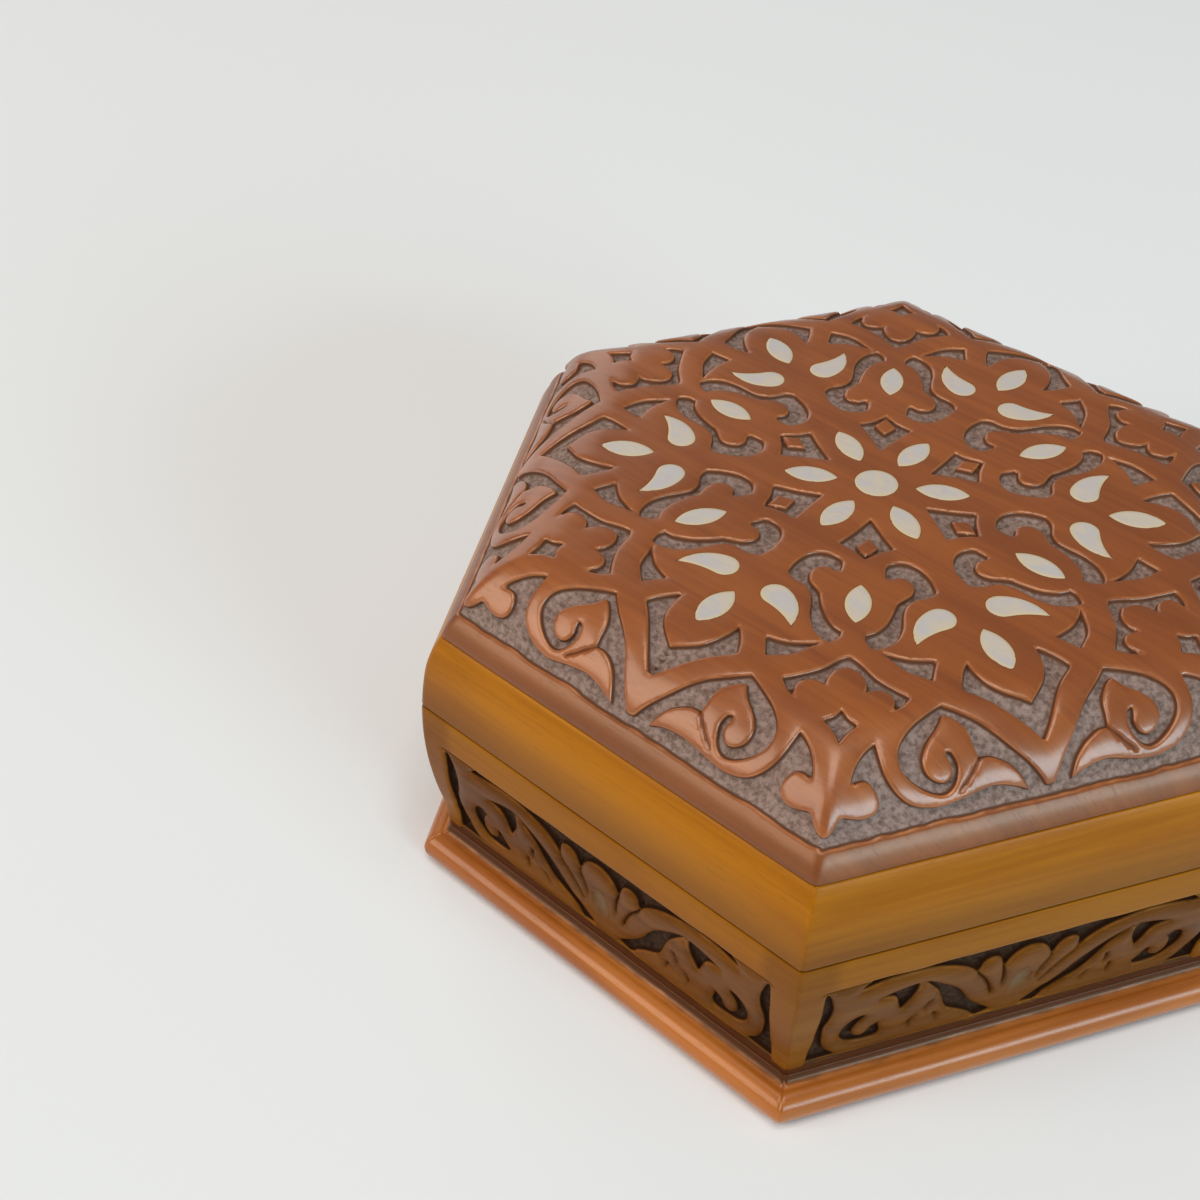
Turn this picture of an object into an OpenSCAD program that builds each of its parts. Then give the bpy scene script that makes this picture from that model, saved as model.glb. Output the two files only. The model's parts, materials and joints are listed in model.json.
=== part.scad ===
// Hexagonal carved box with a hinged lid, a mitred plinth and pearl inlays.
// The origin is the centre of the underside. The front face looks along -Y,
// the hinges are on the back face at +Y, and two corners lie on the X axis.

/* [Overall] */
// Width across the flats of the plinth
plinth_flats = 139.4; // [138:0.2:144]
// Height of the closed box
box_h = 68; // [67:0.5:72]
// Height of the middle of the seam between the lid and the base
seam_z = 38.85; // [38:0.05:40]
// Gap between the rims of the closed lid and the base
seam_gap = 0.4; // [0.3:0.05:0.6]

/* [Walls] */
// Distance from the axis to the inner faces of walls and rails
inner_apothem = 57.5; // [55:0.5:58.5]
// Distance from the axis to the widest line of the bulging walls
belly_apothem = 68.35; // [67.5:0.05:68.5]
// Height of the widest line of the walls
belly_z = 34; // [32:0.5:36]
// Radius of the bulge
belly_r = 80; // [70:1:120]
// Height below which the wall runs almost straight to its foot
foot_top_z = 14; // [12:0.5:16]
// Distance from the axis to the foot of the wall
foot_apothem = 65.2; // [64.5:0.1:65.5]

/* [Carving] */
// Depth of the carved ground in the lid under the wood's face
lid_relief = 1.2; // [0.8:0.1:2]
// Width of the carved panel in each wall
panel_w = 69; // [60:1:70]
// Height of the lower edge of the panel
panel_low_z = 9.9; // [9.4:0.1:11]
// Height of the upper edge of the panel
panel_high_z = 32; // [30:0.2:33]
// Depth of the panel's ground under the wall's face
panel_relief = 1.7; // [0.8:0.1:2.5]

/* [Plinth] */
// Height of the rounded nose
nose_h = 6; // [5:0.5:7]
// Height of the whole plinth, with the cove over the nose
plinth_h = 7.6; // [7.2:0.2:8]

/* [Lid] */
// Height at which the rail turns inward to the shoulder
rail_turn_z = 46; // [44:0.5:48]
// Radius of the rail's upper turn
rail_turn_r = 18; // [16:0.5:20]
// Height of the joint between the rails and the lid board
board_z = 53.1; // [52.5:0.1:54]
// Distance from the axis to the upper edge of the plain border
border_apothem = 62.3; // [61.5:0.1:63]
// Height of the upper edge of the plain border
border_z = 57.4; // [57:0.1:58.5]
// Distance from the axis to the edge of the flat top
flat_apothem = 46.5; // [45:0.5:48]

/* [Inlays] */
// Thickness of every pearl inlay
pearl_t = 1.2; // [0.8:0.1:2]
// Radius of the centre disc
disc_r = 3.6; // [3:0.1:4]
// Length of a star petal
star_len = 9; // [7:0.1:9.5]
// Width of a star petal
star_w = 4.2; // [3:0.1:4.5]
// Distance from the centre to the middle of a star petal
star_ring = 10.9; // [10:0.1:12]
// Length of a bud
bud_len = 9; // [7:0.1:10]
// Width of a bud
bud_w = 4.1; // [3:0.1:4.5]
// Distance from the centre to the middle of a bud
bud_ring = 31; // [30:0.1:32]
// Length of a flower's outer petal
tip_len = 9.2; // [7:0.1:10]
// Width of a flower's outer petal
tip_w = 4.3; // [3:0.1:4.5]
// Distance from the centre to the middle of a flower's outer petal
tip_ring = 42.1; // [41:0.1:43]
// Radius of the round head of a comma petal
comma_r = 2.4; // [2:0.05:2.6]
// Distance from the head's middle to the tip of a comma petal
comma_len = 7.4; // [6:0.1:7.6]

/* [Linings] */
// Thickness of the padded linings
lining_t = 1.2; // [0.8:0.1:2]
// Distance from the rim of the base down to the wall linings
lining_drop = 3; // [2:0.5:6]

/* [Hinges] */
// Distance from the middle of the box to the middle of a hinge
hinge_x = 22; // [18:0.5:25]
// Distance from the axis of the box to the hinge pins
hinge_y = 66.2; // [66:0.05:66.4]
// Length of a hinge
hinge_len = 20; // [16:1:24]
// Width of a hinge leaf, from the pin
leaf_w = 7.4; // [6.5:0.1:7.8]
// Thickness of a hinge leaf
leaf_t = 0.9; // [0.7:0.05:1]
// Radius of the knuckles
knuckle_r = 1.6; // [1.5:0.05:1.65]
// Radius of the pin
pin_r = 0.7; // [0.6:0.05:0.8]
// Angle at which the bevels on the back rims stop the lid
open_angle = 105; // [95:1:110]

/* [Hidden] */

// Steps in each curved stretch of an outline
arc_steps = 10;
// Facets of small round parts
$fn = 48;
// Reach of cutting bodies past the box
far = 100;

base_rim_z = seam_z - seam_gap / 2;
lid_rim_z = seam_z + seam_gap / 2;
plinth_apothem = plinth_flats / 2;
nose_r = nose_h / 2;
cove_r = plinth_h - nose_h;

// The shoulder is an arc that leaves the flat top level and ends at the border
shoulder_in = border_apothem - flat_apothem;
shoulder_down = box_h - border_z;
shoulder_r = (shoulder_in * shoulder_in + shoulder_down * shoulder_down) / (2 * shoulder_down);
shoulder_end = asin(shoulder_in / shoulder_r);

// The carving of the lid, as a twelfth of its plan. The first number is the distance from the line
// to a corner, and the second the distance along that line. The ground is cut away inside an outline.
star_notch = [[0, 9.8], [2.4, 13.8], [4.4, 16.7], [2.2, 18], [0, 20]];
star_lozenge = [[0, 14.6], [1.8, 17], [0, 19.4]];
palmette_crescent = [
    [0, 42.9], [3.8, 46.3], [9.2, 49.4], [6.9, 52.8], [6.8, 49.6], [5.2, 48.8], [2.9, 49.9],
    [1.9, 46.1], [0, 45.1]
];
ridge_kite = [[0, 54.2], [2.5, 56.4], [0, 60]];
bud_channel = [
    [3.4, 22.6], [4.6, 20.2], [8.6, 20.6], [11.5, 25.5], [8.5, 28.2], [7, 32], [6.2, 37.8],
    [3.2, 40.4], [1.9, 37.6], [4.8, 34.4], [5.9, 29.6], [8, 26.6], [7.2, 23.7], [4.3, 23.9]
];
side_slit = [[12.6, 41.2], [4.6, 40.9], [8.5, 44.2], [12.2, 45.2]];
shoulder_ground = [
    [29, 53.4], [25, 52.3], [20, 50.9], [13.4, 49.7], [9.6, 55], [8.6, 58], [9.4, 60.4],
    [11.6, 61.4], [16, 60.3], [12.6, 59.8], [12, 58.2], [13.9, 51.3], [17.8, 52.4], [20, 55.2],
    [24, 54.1], [27.4, 55], [22.5, 57.1], [17.5, 60.6], [13, 63], [10, 63.3], [7.3, 61.6],
    [5.3, 58.3], [3, 63.2], [2.8, 65], [5.3, 63.6], [6.8, 64.6], [6.6, 66.2], [2.2, 68.3], [1.4, 69.8]
];
// The carving at a face's normal: distance to its side, and distance out along it
flower_vee = [[0, 57.5], [6.1, 50.5], [8.7, 48.1], [5.6, 43.2], [4.6, 48.1], [0, 52.7]];
// Distance that the ground stays short of the border's upper edge
border_lip = 0.15;

// The carving of half a wall panel: distance from the middle of the wall, and height
panel_ground_top = [
    [0, 32], [24, 32], [28.7, 29.7], [24, 30.8], [17, 30.7], [11.5, 28.5], [8.5, 25.2], [7.9, 28.4],
    [6.5, 29], [5.2, 28.3], [4.2, 25.2], [1.8, 29], [0, 29.6]
];
panel_crescent = [
    [18.2, 27.6], [12.5, 23.5], [8.8, 18], [5.2, 12.8], [2.6, 10.4], [5.6, 9.9], [10.8, 14.6],
    [13.2, 19.8], [16.2, 25.3]
];
panel_leaf_gap = [[18.7, 27.4], [25, 25.7], [21.6, 24], [20.4, 20], [18.8, 23.6]];
panel_scroll = [
    [26.3, 20.3], [28.5, 21], [29.8, 16.6], [27.8, 12.7], [22.8, 12.2], [23.6, 17.8], [25.7, 13.9],
    [27.7, 15.8]
];
panel_end_slit = [[34.5, 31.3], [34.5, 9.9], [29.5, 9.9], [32.4, 14], [33.2, 20.5], [32.5, 26]];
// Half width, lower edge and upper edge of the panel as these outlines draw it
drawn_half_w = 34.5;
drawn_low_z = 9.9;
drawn_high_z = 32;

// Wood colours
top_wood = [0.55, 0.30, 0.15];
rail_wood = [0.68, 0.43, 0.17];
wall_wood = [0.45, 0.29, 0.15];
plinth_wood = [0.74, 0.47, 0.26];
board_wood = [0.50, 0.33, 0.20];
pearl_white = [0.88, 0.82, 0.74];
velvet_red = [0.35, 0.04, 0.07];
brass_yellow = [0.78, 0.60, 0.28];

// Head of a comma petal: distance out along the flower's axis, and to its side
comma_out = 33.7;
comma_side = 5.05;
// Angle from the flower's axis to the line from head to tip
comma_lean = 55;
// Radius of the comma's full outer back and of its hollow inner side
comma_back_r = 7.2;
comma_hollow_r = 12;

screw_x = 6;
screw_y = 4.6;
screw_len = 6.5;
screw_head_r = 1.45;
screw_head_h = 0.75;
screw_r = 0.7;
screw_gap = 0.05;
slot_w = 0.4;
slot_deep = 0.3;
knuckles = 5;
knuckle_gap = 0.1;
pin_gap = 0.05;
barrel_gap = 0.35;
pin_head_r = 1.2;
pin_head_h = 0.5;
mortise_gap = 0.1;
// Angle that the bevels leave spare at the stop
bevel_spare = 3;
// The side that carries the hinges, counted anticlockwise from the front
back_side = 4;

// Outer face of the bulge at a height
function belly(z) = belly_apothem - belly_r + sqrt(belly_r * belly_r - pow(z - belly_z, 2));

// Outer face of a base wall at a height
function wall_face(z) = z >= foot_top_z ? belly(z)
    : foot_apothem + (belly(foot_top_z) - foot_apothem) * (z - plinth_h) / (foot_top_z - plinth_h);

// Points round a circle from one angle to another
function arc(cx, cz, r, a0, a1) =
    [for (i = [0:arc_steps]) let (a = a0 + (a1 - a0) * i / arc_steps) [cx + r * cos(a), cz + r * sin(a)]];

// Outline of the wall, with its face sunk by a depth
function wall_outline(sunk = 0) = concat(
    [[inner_apothem, plinth_h], [wall_face(plinth_h) - sunk, plinth_h]],
    [for (i = [0:arc_steps]) let (z = foot_top_z + (base_rim_z - foot_top_z) * i / arc_steps)
        [wall_face(z) - sunk, z]],
    [[inner_apothem, base_rim_z]]
);

// Outline of a lid rail: the bulge, then a tighter turn up to the board
turn_start = asin((rail_turn_z - belly_z) / belly_r);
turn_x = belly(rail_turn_z) - rail_turn_r * cos(turn_start);
turn_z = rail_turn_z - rail_turn_r * sin(turn_start);
turn_end = asin((board_z - turn_z) / rail_turn_r);
rail_top_apothem = turn_x + rail_turn_r * cos(turn_end);
rail_outline = concat(
    [[inner_apothem, lid_rim_z], [belly(lid_rim_z), lid_rim_z]],
    arc(turn_x, turn_z, rail_turn_r, turn_start, turn_end),
    [[inner_apothem, board_z]]
);

// Outline of the plinth: a full round nose and a cove up to the wall
plinth_outline = concat(
    [[inner_apothem, 0]],
    arc(plinth_apothem - nose_r, nose_r, nose_r, -90, 90),
    arc(foot_apothem + cove_r, nose_h + cove_r, cove_r, 270, 180),
    [[inner_apothem, plinth_h]]
);

// A half outline and its mirror image
function mirrored(half) =
    concat(half, [for (i = [len(half) - 1:-1:0]) if (half[i][0] > 0) [-half[i][0], half[i][1]]]);

// Outline of the lid board, with its top and shoulders sunk by a depth
function board_outline(sunk = 0) = mirrored(concat(
    [[rail_top_apothem, board_z], [border_apothem, border_z]],
    arc(flat_apothem, box_h - shoulder_r, shoulder_r - sunk, 90 - shoulder_end, 90)
));

// A drawn panel outline at the panel's own size
function panel_fit(points) = [
    for (p = points) [
        p[0] * panel_w / 2 / drawn_half_w,
        panel_low_z + (p[1] - drawn_low_z) * (panel_high_z - panel_low_z) / (drawn_high_z - drawn_low_z)
    ]
];

// The point of the shoulder ground's outer edge at a distance to the side of a face's normal,
// in the coordinates of the twelfth
function at_border(side) =
    let (out = border_apothem - border_lip)
    [out * sin(30) - side * cos(30), out * cos(30) + side * sin(30)];

// Turns the front side's geometry to side k, counted anticlockwise from the front
module to_side(k) {
    rotate([0, 0, 60 * (k - 1)]) children();
}

// Turns the geometry on the corner at +X to corner k
module to_corner(k) {
    rotate([0, 0, 60 * (k - 1)]) children();
}

// The sixth of the plan that belongs to the front side
module front_sector(z0, z1) {
    translate([0, 0, z0]) linear_extrude(z1 - z0)
        polygon([[0, 0], [-far * tan(30), -far], [far * tan(30), -far]]);
}

// A bar along the front side with an outline of distance out and height
module front_bar(outline) {
    rotate([90, 0, -90]) linear_extrude(2 * far, center = true) polygon(outline);
}

// One mitred length of a hexagonal frame
module mitred_bar(outline) {
    intersection() {
        front_bar(outline);
        front_sector(-1, box_h + 1);
    }
}

// A hexagonal plate
module hex_plate(apothem, z0, z1) {
    translate([0, 0, z0]) cylinder(r = apothem / cos(30), h = z1 - z0, $fn = 6);
}

// Wedge that bevels the back rims, so that they meet when the lid stands open
module back_bevel() {
    half = (open_angle + bevel_spare) / 2;
    reach = 6;
    translate([0, hinge_y, seam_z]) rotate([90, 0, 90])
        linear_extrude(plinth_flats, center = true)
            polygon([[0, 0], [reach, -reach * tan(half)], [reach, reach * tan(half)]]);
}

// Places a hinge's geometry at hinge 1 on the left or hinge 2 on the right
module at_hinge(k) {
    translate([k == 1 ? -hinge_x : hinge_x, 0, 0]) children();
}

// Room in the wood for one hinge, up into the lid or down into the base
module hinge_room(up) {
    seat_z = up * (seam_gap / 2 + leaf_t);
    translate([0, hinge_y, seam_z]) {
        rotate([0, 90, 0])
            cylinder(r = knuckle_r + barrel_gap, h = hinge_len + 3, center = true);
        translate([-hinge_len / 2 - mortise_gap, -leaf_w - mortise_gap, min(seat_z, 0)])
            cube([hinge_len + 2 * mortise_gap, leaf_w + 2 * mortise_gap, abs(seat_z)]);
        for (s = [-1, 1]) translate([s * screw_x, -screw_y, 0])
            rotate([up > 0 ? 0 : 180, 0, 0]) cylinder(r = screw_r + screw_gap, h = screw_len + 1);
    }
}

// One hinge leaf with its own knuckles, up for the lid or down for the base
module hinge_leaf(up) {
    pitch = hinge_len / knuckles;
    first = up > 0 ? 1 : 0;
    color(brass_yellow) translate([0, hinge_y, seam_z]) difference() {
        union() {
            difference() {
                translate([-hinge_len / 2, -leaf_w, up > 0 ? seam_gap / 2 : -seam_gap / 2 - leaf_t])
                    cube([hinge_len, leaf_w, leaf_t]);
                for (i = [1 - first:2:knuckles - 1])
                    translate([-hinge_len / 2 + (i + 0.5) * pitch, 0, 0]) rotate([0, 90, 0])
                        cylinder(r = knuckle_r + 0.15, h = pitch + knuckle_gap, center = true);
            }
            for (i = [first:2:knuckles - 1])
                translate([-hinge_len / 2 + (i + 0.5) * pitch, 0, 0]) rotate([0, 90, 0])
                    cylinder(r = knuckle_r, h = pitch - knuckle_gap, center = true);
        }
        rotate([0, 90, 0]) cylinder(r = pin_r + pin_gap, h = hinge_len + 2, center = true);
        for (s = [-1, 1]) translate([s * screw_x, -screw_y, 0])
            rotate([up > 0 ? 0 : 180, 0, 0]) translate([0, 0, seam_gap / 2]) {
                cylinder(r1 = screw_head_r + screw_gap, r2 = screw_r + screw_gap, h = screw_head_h);
                translate([0, 0, -1]) cylinder(r = screw_r + screw_gap, h = 4);
            }
    }
}

// The two screws of one leaf, heads at the seam
module leaf_screws(up) {
    translate([0, hinge_y, seam_z])
        for (s = [-1, 1]) translate([s * screw_x, -screw_y, 0])
            rotate([up > 0 ? 0 : 180, 0, 0]) translate([0, 0, seam_gap / 2]) difference() {
                union() {
                    cylinder(r1 = screw_head_r, r2 = screw_r, h = screw_head_h);
                    cylinder(r = screw_r, h = screw_len);
                }
                rotate([0, 0, 30 * s]) translate([-2, -slot_w / 2, -1])
                    cube([4, slot_w, 1 + slot_deep]);
            }
}

// Plan of a pointed lens that lies along X
module lens_plan(length, width) {
    r = (length * length + width * width) / (4 * width);
    intersection() {
        translate([0, r - width / 2]) circle(r = r);
        translate([0, width / 2 - r]) circle(r = r);
    }
}

// Middle of an arc that passes the tip and touches the head, on one side of it:
// r is the arc's radius, and touch is -1 for the full back or 1 for the hollow
function comma_mid(r, touch) =
    let (x = (comma_len * comma_len + comma_r * comma_r + touch * 2 * r * comma_r) / (2 * comma_len))
    [x, -sqrt(pow(r + touch * comma_r, 2) - x * x)];

// Plan of a comma petal: a round head at the origin that runs out to a tip on X
module comma_plan() {
    back = comma_mid(comma_back_r, -1);
    hollow = comma_mid(comma_hollow_r, 1);
    back_touch = atan2(-back[1], -back[0]);
    hollow_touch = atan2(hollow[1], hollow[0]);
    polygon(concat(
        arc(back[0], back[1], comma_back_r, back_touch, atan2(-back[1], comma_len - back[0])),
        arc(hollow[0], hollow[1], comma_hollow_r, atan2(-hollow[1], comma_len - hollow[0]),
            hollow_touch + 180),
        arc(0, 0, comma_r, hollow_touch, back_touch - 360)
    ));
}

// A flush inlay, or the pocket for it where above is more than 0
module inlay(above) {
    translate([0, 0, box_h - pearl_t]) linear_extrude(pearl_t + above) children();
}

module star_petal_shape(above = 0) {
    inlay(above) rotate(-90) translate([star_ring, 0]) lens_plan(star_len, star_w);
}

module bud_shape(above = 0) {
    inlay(above) translate([bud_ring, 0]) lens_plan(bud_len, bud_w);
}

module flower_shape(above = 0) {
    inlay(above) rotate(-90) {
        translate([tip_ring, 0]) lens_plan(tip_len, tip_w);
        for (s = [0, 1]) mirror([0, s])
            translate([comma_out, comma_side]) rotate(comma_lean) comma_plan();
    }
}

// The lid's board, with its top and shoulders sunk by a depth
module board(sunk = 0) {
    intersection_for (k = [1:3]) to_side(k) front_bar(board_outline(sunk));
}

// Plan of the ground that is cut away round one corner, on both sides of the line to it
module corner_ground() {
    difference() {
        polygon(mirrored(star_notch));
        polygon(mirrored(star_lozenge));
    }
    polygon(mirrored(palmette_crescent));
    polygon(mirrored(ridge_kite));
    for (s = [0, 1]) mirror([s, 0]) {
        polygon(bud_channel);
        polygon(side_slit);
        polygon(concat(shoulder_ground, [at_border(border_apothem * tan(30) - 1), at_border(1)]));
    }
}

// The hollows between the lid's carved straps and leaves
module lid_ground() {
    difference() {
        translate([0, 0, board_z]) linear_extrude(box_h) for (k = [1:6]) {
            rotate(60 * (k - 1) - 90) corner_ground();
            rotate(60 * (k - 1)) polygon(mirrored(flower_vee));
        }
        board(lid_relief);
    }
}

// The hollows between the scrolls of the front wall's panel
module panel_ground() {
    difference() {
        rotate([90, 0, 0]) linear_extrude(far) {
            polygon(mirrored(panel_fit(panel_ground_top)));
            for (s = [0, 1], outline = [panel_crescent, panel_leaf_gap, panel_scroll, panel_end_slit])
                mirror([s, 0]) polygon(panel_fit(outline));
        }
        front_bar(wall_outline(panel_relief));
    }
}

module bottom_board() {
    color(board_wood) hex_plate(inner_apothem, 0, nose_h);
}

module floor_lining() {
    color(velvet_red) hex_plate(inner_apothem, nose_h, nose_h + lining_t);
}

module plinth_moulding(k) {
    color(plinth_wood) to_side(k) mitred_bar(plinth_outline);
}

module base_wall(k) {
    color(wall_wood) difference() {
        to_side(k) difference() {
            mitred_bar(wall_outline());
            panel_ground();
        }
        if (abs(k - back_side) <= 1) back_bevel();
        if (k == back_side) for (h = [1:2]) at_hinge(h) hinge_room(-1);
    }
}

module wall_lining(k) {
    low = nose_h + lining_t;
    high = base_rim_z - lining_drop;
    color(velvet_red) to_side(k) mitred_bar([
        [inner_apothem - lining_t, low],
        [inner_apothem, low],
        [inner_apothem, high],
        [inner_apothem - lining_t, high]
    ]);
}

module lid_rail(k) {
    color(rail_wood) difference() {
        to_side(k) mitred_bar(rail_outline);
        if (abs(k - back_side) <= 1) back_bevel();
        if (k == back_side) for (h = [1:2]) at_hinge(h) hinge_room(1);
    }
}

module lid_top() {
    color(top_wood) difference() {
        board();
        lid_ground();
        translate([0, 0, box_h - pearl_t]) cylinder(r = disc_r, h = pearl_t + 1);
        for (k = [1:6]) {
            to_side(k) star_petal_shape(1);
            to_corner(k) bud_shape(1);
            to_side(k) flower_shape(1);
        }
    }
}

module lid_lining() {
    color(velvet_red) hex_plate(inner_apothem - 1, board_z - lining_t, board_z);
}

module base_hinge_leaf(k) {
    at_hinge(k) hinge_leaf(-1);
}

module lid_hinge_leaf(k) {
    at_hinge(k) hinge_leaf(1);
}

module hinge_pin(k) {
    color(brass_yellow) at_hinge(k) translate([0, hinge_y, seam_z]) rotate([0, 90, 0]) {
        cylinder(r = pin_r, h = hinge_len + 2 * pin_head_h, center = true);
        for (s = [-1, 1]) translate([0, 0, s * (hinge_len + pin_head_h) / 2])
            cylinder(r = pin_head_r, h = pin_head_h, center = true);
    }
}

module base_leaf_screws() {
    color(brass_yellow) for (k = [1:2]) at_hinge(k) leaf_screws(-1);
}

module lid_leaf_screws() {
    color(brass_yellow) for (k = [1:2]) at_hinge(k) leaf_screws(1);
}

module pearl_centre() {
    color(pearl_white) inlay(0) circle(r = disc_r);
}

module pearl_star_petal(k) {
    color(pearl_white) to_side(k) star_petal_shape();
}

module pearl_bud(k) {
    color(pearl_white) to_corner(k) bud_shape();
}

module pearl_flower(k) {
    color(pearl_white) to_side(k) flower_shape();
}

bottom_board();
floor_lining();
lid_top();
lid_lining();
base_leaf_screws();
lid_leaf_screws();
pearl_centre();
for (k = [1:2]) {
    base_hinge_leaf(k);
    lid_hinge_leaf(k);
    hinge_pin(k);
}
for (k = [1:6]) {
    plinth_moulding(k);
    base_wall(k);
    wall_lining(k);
    lid_rail(k);
    pearl_star_petal(k);
    pearl_bud(k);
    pearl_flower(k);
}
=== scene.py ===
"""Finish of a hexagonal carved box: carved lid, mitred rails, walls and plinth, pearl inlays and linings.

Lengths are in millimetres until a mesh is made, and the frame is in metres.
A profile is a line of (out, up) points: out is the distance from the box's axis to a side's face.
"""

from contextlib import contextmanager

import bmesh
import bpy
import numpy as np
from mathutils import Matrix, Vector
from mathutils.geometry import delaunay_2d_cdt
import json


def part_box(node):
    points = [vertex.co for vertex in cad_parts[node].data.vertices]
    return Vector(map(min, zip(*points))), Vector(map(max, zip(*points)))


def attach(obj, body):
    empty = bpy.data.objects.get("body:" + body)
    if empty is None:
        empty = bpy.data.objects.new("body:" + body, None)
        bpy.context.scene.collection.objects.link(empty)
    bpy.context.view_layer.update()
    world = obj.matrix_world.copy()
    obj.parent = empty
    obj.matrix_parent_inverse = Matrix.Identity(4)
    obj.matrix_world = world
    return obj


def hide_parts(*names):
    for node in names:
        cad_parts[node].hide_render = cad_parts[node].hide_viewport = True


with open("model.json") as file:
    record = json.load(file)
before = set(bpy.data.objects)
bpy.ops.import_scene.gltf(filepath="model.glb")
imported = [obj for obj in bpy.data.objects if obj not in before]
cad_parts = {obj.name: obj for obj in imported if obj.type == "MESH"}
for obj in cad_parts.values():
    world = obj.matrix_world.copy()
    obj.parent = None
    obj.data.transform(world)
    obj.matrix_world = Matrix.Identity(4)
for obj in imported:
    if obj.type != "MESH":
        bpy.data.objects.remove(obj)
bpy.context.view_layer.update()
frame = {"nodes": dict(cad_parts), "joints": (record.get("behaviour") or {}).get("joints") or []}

MM = 0.001
TAN30 = np.tan(np.radians(30))
COS30 = np.cos(np.radians(30))
SIDES = range(1, 7)
HINGES = range(1, 3)
BACK_SIDE = 4


def cad_span(node, axis):
    """Lowest and highest coordinate of a CAD node along an axis, in millimetres."""
    low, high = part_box(node)
    return low[axis] / MM, high[axis] / MM


# Sizes taken from the frame
board_z, box_h = cad_span("lid_top", 2)
board_apothem = cad_span("lid_top", 1)[1]
lid_rim_z = cad_span("lid_rail_1", 2)[0]
plinth_h, base_rim_z = cad_span("base_wall_1", 2)
inner_apothem = -cad_span("base_wall_1", 1)[1]
belly_apothem = -cad_span("base_wall_1", 1)[0]
plinth_apothem = -cad_span("plinth_moulding_1", 1)[0]
floor_low, floor_high = cad_span("floor_lining", 2)
lining_low, lining_high = cad_span("wall_lining_1", 2)
lid_lining_low, lid_lining_high = cad_span("lid_lining", 2)
lid_lining_apothem = cad_span("lid_lining", 1)[1]
seam_z = (lid_rim_z + base_rim_z) / 2
hinge_y = frame["joints"][0]["pos_m"][1] / MM
hinge_mid = sum(cad_span("base_hinge_leaf_2", 0)) / 2
hinge_len = np.diff(cad_span("base_hinge_leaf_2", 0))[0]

# Shapes of the outer faces
BELLY_Z = 34
BELLY_R = 80
FOOT_TOP_Z = 14
FOOT_APOTHEM = 65.2
RAIL_TURN_Z = 46
RAIL_TURN_R = 18
FLAT_APOTHEM = 46.5
BORDER_APOTHEM = 62.3
BORDER_Z = 57.4
BORDER_R = 11.4
NOSE_H = floor_low

# Hinge mortises and bevels in the back rims
KNUCKLE_ROOM_R = 1.95
KNUCKLE_ROOM_SPARE = 3
LEAF_W = 7.5
LEAF_T = 0.9
MORTISE_SPARE = 0.2
KNUCKLE_SEGMENTS = 48
BEVEL_HALF_ANGLE = 54

# Softened edges: how sharply the hexagon turns its corners, and how far the arrises are rounded
LID_SHARPNESS = 3.5
MITRE_SHARPNESS = 5
NORMAL_SHARPNESS = 1.2
CORNER_FADE = 4
ARRIS = 0.3
SHARP_ANGLE = 50
NEARLY_STRAIGHT = -0.85
MITRE_SINK = 0.12
MITRE_REACH = 0.14
MITRE_BAND = 5
# How far out from its inner face the outer face of a wall or rail starts
INNER_BAND = 2
# The value of a distance to the carving for points that aren't on the outer face
OFF_FACE = 10

# Cross-section of the relief: rounded edges, crowned straps, steep cut walls and a flat ground
RELIEF_LEVELS = (-0.45, -0.15, 0.0, 0.3, 0.6)
LID_DEPTH = 1.2
BORDER_DEPTH = 0.65
PANEL_DEPTH = 1.7
EDGE_DROP = 0.3
EDGE_WIDTH = 0.6
CROWN_WIDTH = 2.0
FLAT_CROWN = 0.12
SHOULDER_CROWN = 0.1
PANEL_CROWN = 0.5
WALL_FOOT = 0.3
WALL_SHARE = 0.86
FILLET_END = 0.7
GROOVE_LEVELS = (-0.45, 0.0, 0.45)
GROOVE_DEPTH = 0.45
# How far to the right of a groove its distance counts as less than 0
SIGNED_REACH = 1.5
OVAL_DEPTH = 0.7
PEARL_LEVELS = (-0.3, 0.0, 0.15)
PEARL_SEAT = 0.08
SEAT_WIDTH = 1.5
POCKET_DEPTH = 1.15
PEARL_STEP = 0.3
PEARL_RIM = 0.5
PEARL_DROP = 0.12

# Unevenness of the handwork, each with its height and its length
PLAN_DRIFT = (0.16, 11)
RIM_DRIFT = (0.1, 3.5)
GROUND_DRIFT = (0.12, 2.6)
STRAP_DRIFT = (0.03, 14)
PANEL_DRIFT = (0.12, 9)
PAD_DRIFT = (0.12, 18)

# How much of the dark tone shows at full painted shade, and how much painted shade darkens the lid's border
# and the walls' rims
SHADE_SHARE = 0.5
BORDER_SHADE = 0.8
RIM_SHADE = 0.5
# Weight of the clear coat on a moulding where it has no dark stain and painted shade
UNDARKENED_COAT = 0.45
# Punch marks to a millimetre of carved ground
PUNCH_RATE = 1.0

# Spacing of the points of the lid, the walls, the plain pieces and the traced curves
LATTICE_STEP = 0.78
WALL_STEP = 0.72
PLAIN_STEP = 1.5
CURVE_STEP = 0.35
# Points that are compared with all stretches of the carving at a time
PART_SIZE = 4000
# How near to a level of a field a point is used for the level's line, and is then moved onto it
SPLIT_REACH = 0.03
SNAP_REACH = 0.04
# Offsets from piece to piece, so that their grain and their unevenness differ
GRAIN_SHIFT = (97, 31)
DRIFT_SHIFT = 200

# A hexagonal pad: its rings, the points to a side of each, its share of the given size, how much of its
# thickness it keeps at its edge, and the rise of its middle
PAD_RINGS = 26
PAD_PER_SIDE = 30
PAD_INSET = 0.996
PAD_EDGE_SHARE = 0.6
PAD_BULGE = 0.5
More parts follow.
